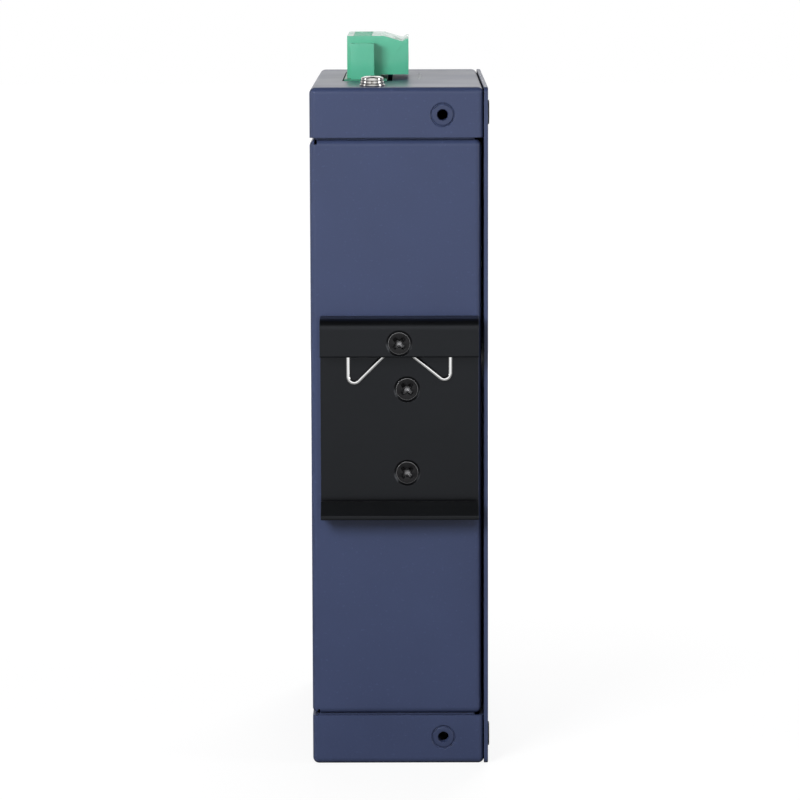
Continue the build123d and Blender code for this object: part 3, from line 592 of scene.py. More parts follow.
def turned_shape(outline, sides=96, closed=False):
    """bmesh turned about Z from (radius, height) points; a radius of 0 is a pole."""
    shape = bmesh.new()
    angles = [2 * math.pi * i / sides for i in range(sides)]
    rings = []
    for radius, height in outline:
        around = angles if radius else [0.0]
        rings.append([shape.verts.new((radius * math.cos(a), radius * math.sin(a), height)) for a in around])
    pairs = list(zip(rings, rings[1:]))
    if closed:
        pairs.append((rings[-1], rings[0]))
    for upper, lower in pairs:
        join_rings(shape, upper, lower)
    bmesh.ops.recalc_face_normals(shape, faces=shape.faces)
    return shape


def box_shape(shape, low, high):
    """Adds a closed box between two corners."""
    middle = (Vector(low) + Vector(high)) / 2
    size = Vector(high) - Vector(low)
    matrix = Matrix.Translation(middle) @ Matrix.Diagonal((*size, 1.0))
    bmesh.ops.create_cube(shape, size=1.0, matrix=matrix)


def settle(piece):
    """Turns a piece's modifiers into a plain mesh at the origin."""
    graph = bpy.context.evaluated_depsgraph_get()
    mesh = bpy.data.meshes.new_from_object(piece.evaluated_get(graph), depsgraph=graph)
    mesh.transform(piece.matrix_world)
    name = piece.name
    bpy.data.objects.remove(piece)
    settled = bpy.data.objects.new(name, mesh)
    bpy.context.scene.collection.objects.link(settled)
    return settled


def combined(piece, tool, operation="DIFFERENCE", crossing=False):
    """Piece with a tool's shape cut out or added; the tool's own shapes may overlap if crossing."""
    boolean = piece.modifiers.new("Combine", "BOOLEAN")
    boolean.operation = operation
    boolean.solver = "EXACT"
    boolean.use_self = crossing
    boolean.object = tool
    bpy.context.view_layer.update()
    piece = settle(piece)
    bpy.data.objects.remove(tool)
    return piece


def soften(piece, width, segments, degrees):
    """Bevels the edges that are sharper than the angle."""
    bevel = piece.modifiers.new("Edges", "BEVEL")
    bevel.width = width
    bevel.segments = segments
    bevel.limit_method = "ANGLE"
    bevel.angle_limit = math.radians(degrees)


def smooth_by_angle(piece, degrees=35):
    """Smooth shading that keeps the edges sharper than the angle."""
    for face in piece.data.polygons:
        face.use_smooth = True
    limit = math.radians(degrees)
    shape = bmesh.new()
    shape.from_mesh(piece.data)
    for edge in shape.edges:
        edge.smooth = len(edge.link_faces) == 2 and edge.calc_face_angle(0) < limit
    shape.to_mesh(piece.data)
    shape.free()


def finish_piece(piece, slot, *nodes):
    """Shades a finished piece, rides it on the body and lets it stand for its CAD nodes."""
    smooth_by_angle(piece)
    if nodes:
        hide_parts(*nodes)
    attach(piece, "root")


# Geometry trees


def vector_of(tree, x=0.0, y=0.0, z=0.0):
    """Vector made of numbers or sockets."""
    return place(tree, "ShaderNodeCombineXYZ", {"X": x, "Y": y, "Z": z}).outputs[0]


def moved(tree, geometry, **changes):
    """Geometry with a Translation, Rotation or Scale."""
    return place(tree, "GeometryNodeTransform", {"Geometry": geometry, **changes}).outputs[0]


def copied(tree, points, part):
    """Real copies of a part on points."""
    copies = place(tree, "GeometryNodeInstanceOnPoints", {"Points": points, "Instance": part})
    return place(tree, "GeometryNodeRealizeInstances", {"Geometry": copies.outputs[0]}).outputs[0]


def line_of(tree, first, step, count):
    """Points in a line."""
    inputs = {"Count": count, "Start Location": first, "Offset": step}
    return place(tree, "GeometryNodeMeshLine", inputs).outputs[0]


def end_tree(tree, geometry, start, end):
    """Makes the geometry real and gives it its material."""
    real = place(tree, "GeometryNodeRealizeInstances", {"Geometry": geometry})
    inputs = {"Geometry": real.outputs[0], "Material": start["Material"]}
    tree.links.new(place(tree, "GeometryNodeSetMaterial", inputs).outputs[0], end[0])


def grid_tree():
    """Copies a part to the places of a two-way grid and gives it its material."""

    def fill(tree, start, end):
        column = line_of(tree, start["First"], start["Step A"], start["Count A"])
        row = line_of(tree, (0.0, 0.0, 0.0), start["Step B"], start["Count B"])
        part = moved(tree, start["Geometry"], Rotation=start["Turn"])
        end_tree(tree, copied(tree, copied(tree, column, row), part), start, end)

    inputs = [
        ("Geometry", GEOMETRY, None),
        ("First", VECTOR, None),
        ("Step A", VECTOR, None),
        ("Count A", INTEGER, 1),
        ("Step B", VECTOR, None),
        ("Count B", INTEGER, 1),
        ("Turn", VECTOR, None),
        ("Material", MATERIAL, None),
    ]
    return shared_group("Part on a grid", "GeometryNodeTree", inputs, [("Geometry", GEOMETRY)], fill)


def plug_tree():
    """Cuts the wire entries, screw holes and grooves of each pole in a plug's body."""

    def fill(tree, start, end):
        step = vector_of(tree, y=math_of(tree, "MULTIPLY", start["Pitch"], -1.0))

        def along_poles(part, fewer=0.0):
            count = math_of(tree, "SUBTRACT", start["Poles"], fewer)
            return copied(tree, line_of(tree, start["First Pole"], step, count), part)

        entry = place(tree, "GeometryNodeMeshCube", {"Size": start["Entry Size"]}).outputs[0]
        size = place(tree, "ShaderNodeSeparateXYZ", {0: start["Entry Size"]}).outputs
        twice = math_of(tree, "MULTIPLY", start["Funnel"], 2.0)
        reach_x, reach_y = (
            math_of(tree, "MULTIPLY", math_of(tree, "ADD", size[axis], twice), 1 / math.sqrt(2))
            for axis in ("X", "Y")
        )
        cone = {"Vertices": 4, "Radius Top": 1.0, "Radius Bottom": 0.72, "Depth": 1.0}
        tapered = place(tree, "GeometryNodeMeshCone", cone).outputs[0]
        funnel = moved(
            tree,
            moved(tree, tapered, Rotation=(0.0, 0.0, math.radians(45))),
            Translation=vector_of(tree, z=math_of(tree, "MULTIPLY", start["Funnel"], -1.0)),
            Scale=vector_of(tree, reach_x, reach_y, twice),
        )
        drill = {"Vertices": 40, "Radius": start["Hole Radius"], "Depth": 4 * MM}
        hole = moved(
            tree,
            place(tree, "GeometryNodeMeshCylinder", drill).outputs[0],
            Translation=start["Hole Place"],
            Rotation=(0.0, math.radians(90), 0.0),
        )
        groove = moved(
            tree,
            place(tree, "GeometryNodeMeshCube", {"Size": start["Groove Size"]}).outputs[0],
            Translation=vector_of(tree, y=math_of(tree, "MULTIPLY", start["Pitch"], -0.5)),
        )
        body = start["Geometry"]
        cutters = [along_poles(part) for part in (entry, funnel, hole)] + [along_poles(groove, 1.0)]
        for cutter in cutters:
            inputs = {"Mesh 1": body, "Mesh 2": cutter}
            cut = place(tree, "GeometryNodeMeshBoolean", inputs, operation="DIFFERENCE", solver="EXACT")
            body = cut.outputs[0]
        end_tree(tree, body, start, end)

    inputs = [
        ("Geometry", GEOMETRY, None),
        ("First Pole", VECTOR, None),
        ("Pitch", FLOAT, 5.08 * MM),
        ("Poles", INTEGER, 6),
        ("Entry Size", VECTOR, None),
        ("Funnel", FLOAT, 0.45 * MM),
        ("Hole Place", VECTOR, None),
        ("Hole Radius", FLOAT, 1.75 * MM),
        ("Groove Size", VECTOR, None),
        ("Material", MATERIAL, None),
    ]
    return shared_group("Poled plug", "GeometryNodeTree", inputs, [("Geometry", GEOMETRY)], fill)


def use_tree(piece, tree, values):
    """Adds a geometry tree as a modifier and sets its named inputs."""
    modifier = piece.modifiers.new(tree.name, "NODES")
    modifier.node_group = tree
    for item in tree.interface.items_tree:
        if item.item_type == "SOCKET" and item.in_out == "INPUT" and item.name in values:
            value = values[item.name]
            modifier[item.identifier] = tuple(value) if isinstance(value, Vector) else value


def on_grid(piece, material, turn, first, *steps):
    """Puts copies of a part made about Z on a grid, from (step, count) pairs, and settles them."""
    (step_a, count_a), (step_b, count_b) = (*steps, (Vector(), 1))[:2]
    values = {
        "First": first,
        "Step A": step_a,
        "Count A": count_a,
        "Step B": step_b,
        "Count B": count_b,
        "Turn": turn,
        "Material": material,
    }
    use_tree(piece, grid_tree(), values)
    return settle(piece)


TO_REAR = (math.radians(-90), 0.0, 0.0)
TO_FRONT = (math.radians(90), 0.0, 0.0)
TO_COVER = (0.0, math.radians(-90), 0.0)


# Screws


def cross_cutter(reach, width, depth):
    """Tapered crossed cutter from above height 0 down to its blunt point."""

    def cross(arm, half, height, middle):
        corners = []
        for quarter in range(4):
            turn = Matrix.Rotation(quarter * math.pi / 2, 3, "Z")
            for point in ((arm, -half), (arm, half), (middle, middle)):
                corners.append(turn @ Vector((*point, height)))
        return corners

    shape = bmesh.new()
    half = width / 2
    sections = [
        cross(reach * 1.07, half * 1.02, 0.1 * depth, half * 1.75),
        cross(reach, half, 0.0, half * 1.6),
        cross(reach * 0.8, half * 0.92, -0.4 * depth, half * 1.3),
        cross(reach * 0.45, half * 0.8, -depth, half * 0.95),
        [Vector((0, 0, -depth * 1.18))],
    ]
    rings = [[shape.verts.new(point) for point in section] for section in sections]
    for upper, lower in zip(rings, rings[1:]):
        join_rings(shape, upper, lower)
    cap = shape.faces.new(rings[0])
    bmesh.ops.triangulate(shape, faces=[cap])
    bmesh.ops.recalc_face_normals(shape, faces=shape.faces)
    return mesh_piece("cross_cutter", shape)


def threaded(outline, radius, top, bottom, pitch):
    """Adds the crests and roots of a thread to an outline that goes down, and closes it."""
    root = radius - 0.55 * pitch
    for turn in range(int((top - bottom) / pitch)):
        height = top - turn * pitch
        outline.append((root, height - 0.15 * pitch))
        outline += [(radius, height - 0.55 * pitch), (radius, height - 0.65 * pitch)]
    return outline + [(root, bottom), (0, bottom)]


def mark_painted_glints(mesh, rim_radius, rim, recess_radius):
    """Writes where uncoated steel paints a screw's highlights: a ring on its rim, and glints low in one half
    of its recess.
    """
    painted_glint = mesh.attributes.new("painted_glint", "FLOAT", "POINT")
    glint_low, glint_high = -1.4 * MM, -0.8 * MM
    glint_side = -0.01 * MM
    for vertex, mark in zip(mesh.vertices, painted_glint.data):
        radius = vertex.co.xy.length
        on_rim = abs(radius - rim_radius) < rim / 2
        deep = radius < recess_radius and glint_low < vertex.co.z < glint_high and vertex.co.y > glint_side
        mark.value = 0.9 if on_rim else 1.0 if deep else 0.0


def crossed_screws(node, material, head_radius, edge, screw_length, turn, *grid):
    """Countersunk screws whose crossed recess is turned by 45 degrees; edge is the head's straight rim."""
    look = bpy.context.scene.switch_screws
    rim = look.rim
    low_edge = -max(edge, rim)
    cone_end = low_edge - (head_radius - look.shank)
    outline = [
        (0, 0),
        (head_radius - 1.4 * rim, 0),
        (head_radius - rim, 0),
        (head_radius - 0.3 * rim, -0.3 * rim),
        (head_radius, -rim),
        (head_radius, low_edge),
        (look.shank, cone_end),
    ]
    outline = threaded(outline, look.shank, cone_end, -screw_length, look.pitch)
    screw = mesh_piece(f"crossed_{node}", turned_shape(outline))
    cutter = cross_cutter(look.reach, look.width, look.depth)
    cutter.rotation_euler.z = math.radians(45)
    screw = combined(screw, cutter)
    # The rim ring and the glints low in the recess are painted highlights.
    mark_painted_glints(screw.data, head_radius - 0.65 * rim, rim, 1.1 * look.reach)
    soften(screw, 0.035 * MM, 2, 40)
    finish_piece(on_grid(screw, material, turn, *grid), "black_steel", node)


class SWITCH_OT_case(bpy.types.Operator):
    """Paint the folded case and its cover, and print the pole numbers"""

    bl_idname = "switch.case"
    bl_label = "Case"

    def execute(self, context):
        look = context.scene.switch_case
        dress("chassis", powder_coat("Blue powder coat", look))
        dress("wrap", powder_coat("Blue powder coat of the wrap", look))
        # The cover's coat is the case's paint made 4% lighter: painted light on the cover.
        dress("side_cover", powder_coat("Blue powder coat of the cover, painted lighter", look, 1.04))
        self.print_numbers(context, look)
        return {"FINISHED"}

    def print_numbers(self, context, look):
        """Prints one number beside each pole of the plug."""
        plug = context.scene.switch_plug
        white = ink("White print", (0.88, 0.88, 0.90))
        x = PLUG_LOW.x - look.print_gap - look.print_height / 2
        first = PLUG_HIGH.y - plug.ear - plug.pitch / 2
        for pole in range(plug.poles):
            text = bpy.data.curves.new(f"pole_number_{pole + 1}", "FONT")
            text.body = str(pole + 1)
            text.size = look.print_height
            text.align_x = "CENTER"
            text.align_y = "CENTER"
            text.extrude = look.print_lift / 2
            number = bpy.data.objects.new(text.name, text)
            context.scene.collection.objects.link(number)
            number.location = (x, first - pole * plug.pitch, CASE_HIGH.z + look.print_lift / 2)
            number.rotation_euler.z = math.pi
            context.view_layer.update()
            number = settle(number)
            refinish(number.data, white)
            finish_piece(number, "case_paint")


class SWITCH_OT_inserts(bpy.types.Operator):
    """Make the painted nuts in the rear bands, with their tapped bores"""

    bl_idname = "switch.inserts"
    bl_label = "Rear inserts"

    def execute(self, context):
        look = context.scene.switch_inserts
        low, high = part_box("wall_mount_nuts")
        body = (high.x - low.x) / 2
        depth = high.y - low.y
        lead, thread, relief = 0.14 * MM, 0.22 * MM, 0.25 * MM
        outline = rounded_outline(
            [
                (look.bore + lead, -look.sink, 0.06 * MM),
                (look.face - 2 * look.rim, -look.sink, 0.1 * MM),
                (look.face - look.rim, -look.sink - 1.1 * look.rim, 0.08 * MM),
                (look.face, -look.sink, 0.0),
                (look.face, -SHEET, 0.0),
                (body, -SHEET, 0.0),
                (body, -depth, 0.15 * MM),
                (look.bore + relief, -depth, 0.0),
            ]
        )
        first_root = -depth + 0.05 * MM
        turns = int((depth - look.sink - 0.2 * MM) / look.pitch)
        for turn in range(turns):
            root = first_root + turn * look.pitch
            outline += [(look.bore, root + 0.2 * look.pitch), (look.bore + thread, root + 0.7 * look.pitch)]
        nut = mesh_piece("rear_inserts", turned_shape(outline, closed=True))
        # The inserts' coat is the case's paint at 0.86: painted shade on their slightly sunk faces.
        paint = powder_coat("Blue powder coat of the inserts, painted darker", context.scene.switch_case, 0.86)
        first = Vector((middle_of("wall_mount_nuts").x, high.y, low.z + body))
        rise = Vector((0, 0, high.z - low.z - 2 * body))
        finish_piece(on_grid(nut, paint, TO_REAR, first, (rise, 2)), "case_paint", "wall_mount_nuts")
        return {"FINISHED"}


class SWITCH_OT_clip(bpy.types.Operator):
    """Anodise the rail clip"""

    bl_idname = "switch.clip"
    bl_label = "Rail clip"

    def execute(self, context):
        dress("din_clip", anodised("Black anodised clip", context.scene.switch_clip))
        return {"FINISHED"}


class SWITCH_OT_screws(bpy.types.Operator):
    """Make the countersunk screws of the clip, its hook and the side cover"""

    bl_idname = "switch.screws"
    bl_label = "Crossed screws"

    def execute(self, context):
        black = black_oxide("Black oxide", context.scene.switch_screws)
        edge = 0.05 * MM
        for node, count in (("clip_screws", 2), ("spring_screw", 1)):
            low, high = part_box(node)
            radius = (high.x - low.x) / 2
            first = Vector((low.x + radius, high.y, low.z + radius))
            rise = Vector((0, 0, high.z - low.z - 2 * radius))
            crossed_screws(node, black, radius, edge, high.y - low.y, TO_REAR, first, (rise, count))
        self.cover_screws(black)
        return {"FINISHED"}

    def cover_screws(self, black):
        """Four screws with low heads, which stand a little proud of the cover."""
        low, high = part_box("cover_screws")
        radius, edge = 2.4 * MM, 0.3 * MM
        first = Vector((low.x, low.y + radius, low.z + radius))
        along = Vector((0, high.y - low.y - 2 * radius, 0))
        upward = Vector((0, 0, high.z - low.z - 2 * radius))
        grid = (first, (along, 2), (upward, 2))
        crossed_screws("cover_screws", black, radius, edge, high.x - low.x, TO_COVER, *grid)


class SWITCH_OT_wire(bpy.types.Operator):
    """Bend the polished spring wire in the clip's hook"""

    bl_idname = "switch.wire"
    bl_label = "Spring wire"

    def execute(self, context):
        look = context.scene.switch_wire
        low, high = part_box("spring_wire")
        screw = middle_of("spring_screw")
        left = high.x - look.radius
        right = low.x + look.radius
        shoulder_left = screw.z - look.shoulder_left
        shoulder_right = screw.z - look.shoulder_right
        corner_left = shoulder_left - (left - look.arch) / math.tan(look.slope_left)
        corner_right = shoulder_right - (-right - look.arch) / math.tan(look.slope_right)
        path = [
            (left, high.z),
            (left, corner_left),
            (look.arch, shoulder_left),
            (look.arch, screw.z + look.arch),
            (-look.arch, screw.z + look.arch),
            (-look.arch, shoulder_right),
            (right, corner_right),
            (right, high.z),
        ]
        y = (low.y + high.y) / 2
        crown = look.arch - 0.1 * MM
        radii = [0, look.bend, look.bend, crown, crown, look.bend, look.bend, 0]
        line = rounded_line([Vector((x, y, z)) for x, z in path], radii, 14)
        curve = bpy.data.curves.new("bent_spring_wire", "CURVE")
        curve.dimensions = "3D"
        curve.bevel_depth = look.radius
        curve.bevel_resolution = 10
        curve.use_fill_caps = True
        spline = curve.splines.new("POLY")
        spline.points.add(len(line) - 1)
        for point, corner in zip(spline.points, line):
            point.co = (*corner, 1.0)
        wire = bpy.data.objects.new("bent_spring_wire", curve)
        context.scene.collection.objects.link(wire)
        context.view_layer.update()
        wire = settle(wire)
        refinish(wire.data, metal("Polished spring steel", look.steel, 0.07, stain=0.03))
        finish_piece(wire, "bright_steel", "spring_wire")
        return {"FINISHED"}


class SWITCH_OT_plug(bpy.types.Operator):
    """Mould the green screw plug and finish its header, clamps and screws"""

    bl_idname = "switch.plug"
    bl_label = "Screw plug"

    def execute(self, context):
        look = context.scene.switch_plug
        self.dress_inner_parts(look)
        middle = middle_of("plug_flange_screws").x
        entry_height, hole_drop = 7.2 * MM, 4.9 * MM
        groove_length, groove_height = 40 * MM, 0.7 * MM
        values = {
            "First Pole": Vector((middle, PLUG_HIGH.y - look.ear - look.pitch / 2, PLUG_HIGH.z)),
            "Pitch": look.pitch,
            "Poles": look.poles,
            "Entry Size": Vector((look.entry_length, look.entry_width, entry_height)),
            "Funnel": look.funnel,
            "Hole Place": Vector((PLUG_LOW.x - middle, 0, -hole_drop)),
            "Hole Radius": 1.75 * MM,
            "Groove Size": Vector((groove_length, look.groove, groove_height)),
            "Material": moulded("Green moulded resin", look.resin, look.roughness, 0.05 * MM),
        }
        body = self.body(look, middle)
        use_tree(body, plug_tree(), values)
        soften(body, look.edge, 3, 50)
        finish_piece(settle(body), "green_plastic", "plug_body")
        return {"FINISHED"}

    def dress_inner_parts(self, look):
        """Finishes the header and the metal parts in it and in the plug."""
        # The header's resin is the plug's green at half brightness: painted shade on the header under the
        # plug.
        header = moulded("Green resin of the header, painted darker", toned(look.resin, 0.5), 0.34, 0.05 * MM)
        plated = metal("Zinc plate of the plug screws", (0.62, 0.62, 0.63), 0.22, edge=0.06 * MM)
        tin = (0.66, 0.65, 0.62)
        dress("header_body", header)
        dress("plug_clamp_screws", plated)
        dress("plug_flange_screws", plated)
        dress("plug_clamps", metal("Tin plate", tin, 0.3))
        dress("header_pins", metal("Tin plate of the pins", tin, 0.26))
        dress("header_bushes", metal("Brass", (0.62, 0.44, 0.18), 0.28))

    def body(self, look, middle):
        """Uncut plug: one section along the poles, a tongue below and an ear at each end."""
        overlap = 0.1 * MM
        floor = CASE_HIGH.z + 0.3 * MM
        ear_top = CASE_HIGH.z + 7.5 * MM
        rear = PLUG_HIGH.y - look.ear
        front = PLUG_LOW.y + look.ear
        body = mesh_piece("screw_plug", self.pole_block(middle, floor, rear, front))

        tongue, ear = 2.9 * MM, 2.37 * MM
        extra = bmesh.new()
        tongue_low = (middle - tongue, front + overlap, PLUG_LOW.z)
        box_shape(extra, tongue_low, (middle + tongue, rear - overlap, floor + overlap))
        for low_y, high_y in ((PLUG_LOW.y, front + overlap), (rear - overlap, PLUG_HIGH.y)):
            box_shape(extra, (middle - ear, low_y, floor), (middle + ear, high_y, ear_top))
        body = combined(body, mesh_piece("tongue_and_ears", extra), "UNION", crossing=True)

        head = (1.95 * MM, ear_top - 2.1 * MM, ear_top + overlap)
        shank = (1.3 * MM, floor - overlap, ear_top)
        drills = bmesh.new()
        for y in (PLUG_HIGH.y - look.ear / 2, PLUG_LOW.y + look.ear / 2):
            for radius, low, high in (head, shank):
                size = {"segments": 48, "radius1": radius, "radius2": radius, "depth": high - low}
                matrix = Matrix.Translation((middle, y, (low + high) / 2))
                bmesh.ops.create_cone(drills, cap_ends=True, matrix=matrix, **size)
        return combined(body, mesh_piece("ear_drills", drills), crossing=True)

    def pole_block(self, middle, floor, rear, front):
        """Block over all the poles: flat over the wires, then falling to a low rim over the screws."""
        wall_side, screw_side = PLUG_HIGH.x, PLUG_LOW.x
        top = PLUG_HIGH.z
        rim_top = top - 0.6 * MM
        underside = CASE_HIGH.z + 1.05 * MM
        throat = middle - 3.6 * MM
        section = [
            (wall_side, floor),
            (wall_side, top),
            (middle - 4.3 * MM, top),
            (middle - 8.1 * MM, top - 1.1 * MM),
            (screw_side + 0.5 * MM, rim_top),
            (screw_side, rim_top),
            (screw_side, underside),
            (throat, underside),
            (throat, floor),
        ]
        shape = bmesh.new()
        ends = [[shape.verts.new((x, y, z)) for x, z in section] for y in (rear, front)]
        for end in ends:
            shape.faces.new(end)
        join_rings(shape, *ends)
        bmesh.ops.recalc_face_normals(shape, faces=shape.faces)
        return shape


class SWITCH_OT_earth(bpy.types.Operator):
    """Make the plated earth screw with its split ring and flat washer"""

    bl_idname = "switch.earth"
    bl_label = "Earth screw"

    def execute(self, context):
        look = context.scene.switch_earth
        plated = metal("Bright plating", look.plate, 0.09, stain=0.07)
        bore, thread = 1.35 * MM, 1.25 * MM
        dress("earth_nut", metal("Zinc plate of the earth nut", (0.6, 0.6, 0.61), 0.3))
        washer = mesh_piece("flat_washer", self.flat_washer(look, bore))
        self.put(washer, "earth_flat_washer", plated)
        self.put(mesh_piece("split_ring", self.split_ring(look, bore)), "earth_spring_washer", plated)
        self.put(self.screw(context.scene.switch_screws, thread), "earth_screw", plated)
        return {"FINISHED"}

    def flat_washer(self, look, bore):
        """Plain washer with rolled edges."""
        low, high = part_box("earth_flat_washer")
        outer = (high.x - low.x) / 2
        corners = [
            (bore, low.z, 0),
            (outer, low.z, 0.7 * look.edge),
            (outer, high.z, look.edge),
            (bore, high.z, 0),
        ]
        return turned_shape(rounded_outline(corners), closed=True)

    def split_ring(self, look, bore):
        """Ring of square section with soft edges, split at the rear."""
        low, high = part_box("earth_spring_washer")
        outer = (high.x - low.x) / 2
        split = math.radians(13)
        sides = 96
        square = ((bore, low.z), (outer, low.z), (outer, high.z), (bore, high.z))
        corners = [Vector((x, 0, z)) for x, z in square]
        start = (corners[0] + corners[1]) / 2
        radii = [0, *[0.8 * look.edge] * 4, 0]
        section = rounded_line([start, *corners[1:], corners[0], start], radii, 4)[:-1]
        shape = bmesh.new()
        rings = []
        for i in range(sides + 1):
            turn = Matrix.Rotation(math.pi / 2 + split / 2 + (2 * math.pi - split) * i / sides, 4, "Z")
            rings.append([shape.verts.new(turn @ point) for point in section])
        for first, second in zip(rings, rings[1:]):
            join_rings(shape, first, second)
        shape.faces.new(rings[0])
        shape.faces.new(rings[-1])
        bmesh.ops.recalc_face_normals(shape, faces=shape.faces)
        return shape

    def screw(self, recess, thread):
        """Pan-head screw with a crossed recess and a thread."""
        low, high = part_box("earth_screw")
        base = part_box("earth_spring_washer")[1].z
        radius = (high.x - low.x) / 2
        flat = 0.62 * radius
        shoulder = high.z - 0.32 * (high.z - base)
        pitch, recess_depth = 0.45 * MM, 0.8 * MM
        corners = [
            (0, high.z, 0),
            (flat, high.z, 0.8 * MM),
            (radius, shoulder, 0.28 * MM),
            (radius, base, 0.1 * MM),
            (thread, base, 0),
        ]
        outline = threaded(rounded_outline(corners), thread, base, low.z, pitch)
        cutter = cross_cutter(0.85 * recess.reach, recess.width, recess_depth)
        cutter.location.z = high.z
        return combined(mesh_piece("earth_terminal_screw", turned_shape(outline)), cutter)

    def put(self, piece, node, material):
        """Moves a turned part to the screw's axis, coats it and lets it stand for its node."""
        middle = middle_of("earth_flat_washer" if node == "earth_spring_washer" else node)
        piece.data.transform(Matrix.Translation((middle.x, middle.y, 0)))
        refinish(piece.data, material)
        finish_piece(piece, "zinc_steel", node)


class SWITCH_OT_lamps(bpy.types.Operator):
    """Make the indicator lamps on the front"""

    bl_idname = "switch.lamps"
    bl_label = "Indicator lamps"

    def execute(self, context):
        look = context.scene.switch_lamps
        resin = lens_resin("Diffused lens", look)
        flange = 1.8 * MM
        bands = [math.radians(degrees) for degrees in range(0, 90, 9)]
        outline = [(look.radius * math.sin(band), look.dome * math.cos(band)) for band in bands]
        outline += [
            (look.radius, 0),
            (look.radius, -SHEET),
            (flange, -SHEET),
            (flange, -2 * SHEET),
            (look.radius, -2 * SHEET),
            (look.radius, -SHEET - look.body),
            (0, -SHEET - look.body),
        ]
        for name, node, rows in (
            ("port_lamp_lenses", "port_lamps", 4),
            ("status_lamp_lenses", "status_lamps", 2),
        ):
            low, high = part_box(node)
            first = Vector((low.x + flange, CASE_LOW.y, low.z + flange))
            across = Vector((high.x - low.x - 2 * flange, 0, 0))
            upward = Vector((0, 0, (high.z - low.z - 2 * flange) / (rows - 1)))
            lamp = mesh_piece(name, turned_shape(outline, sides=40))
            lamps = on_grid(lamp, resin, TO_FRONT, first, (across, 2), (upward, rows))
            finish_piece(lamps, "lamp_lens", node)
        return {"FINISHED"}


class SWITCH_OT_inside(bpy.types.Operator):
    """Finish the ports, the board and what it carries"""

    bl_idname = "switch.inside"
    bl_label = "Ports and board"

    def execute(self, context):
        resins = (
            ("jack_housing", "Black socket resin", (0.012, 0.012, 0.013), 0.42),
            ("switch_chip", "Chip resin", (0.018, 0.018, 0.019), 0.55),
            ("memory_chip", "Memory resin", (0.020, 0.020, 0.021), 0.55),
            ("regulators", "Regulator resin", (0.018, 0.018, 0.018), 0.5),
            ("magnetics_modules", "Transformer resin", (0.014, 0.014, 0.015), 0.45),
            ("alarm_relay", "Relay cover", (0.02, 0.02, 0.022), 0.38),
            ("power_inductors", "Coil ferrite", (0.03, 0.029, 0.028), 0.6),
        )
        zinc = (0.58, 0.58, 0.6)
        metals = (
            ("jack_contacts", "Gold flash", (0.82, 0.58, 0.22), 0.2),
            ("chip_heatsink", "Satin sink", (0.30, 0.31, 0.33), 0.4),
            ("crystal", "Crystal can", (0.62, 0.62, 0.62), 0.25),
            ("capacitors", "Capacitor can", (0.55, 0.56, 0.58), 0.3),
            ("clip_nuts", "Zinc plate of clip_nuts", zinc, 0.28),
            ("board_standoffs", "Zinc plate of board_standoffs", zinc, 0.28),
            ("board_screws", "Zinc plate of board_screws", zinc, 0.28),
        )
        for finish, rows in ((moulded, resins), (metal, metals)):
            for node, name, tint, roughness in rows:
                dress(node, finish(name, tint, roughness))
        dress("jack_shield", metal("Nickel shell", (0.60, 0.58, 0.54), 0.26, edge=0.08 * MM))
        dress("main_board", laminate("Solder mask"))
        return {"FINISHED"}


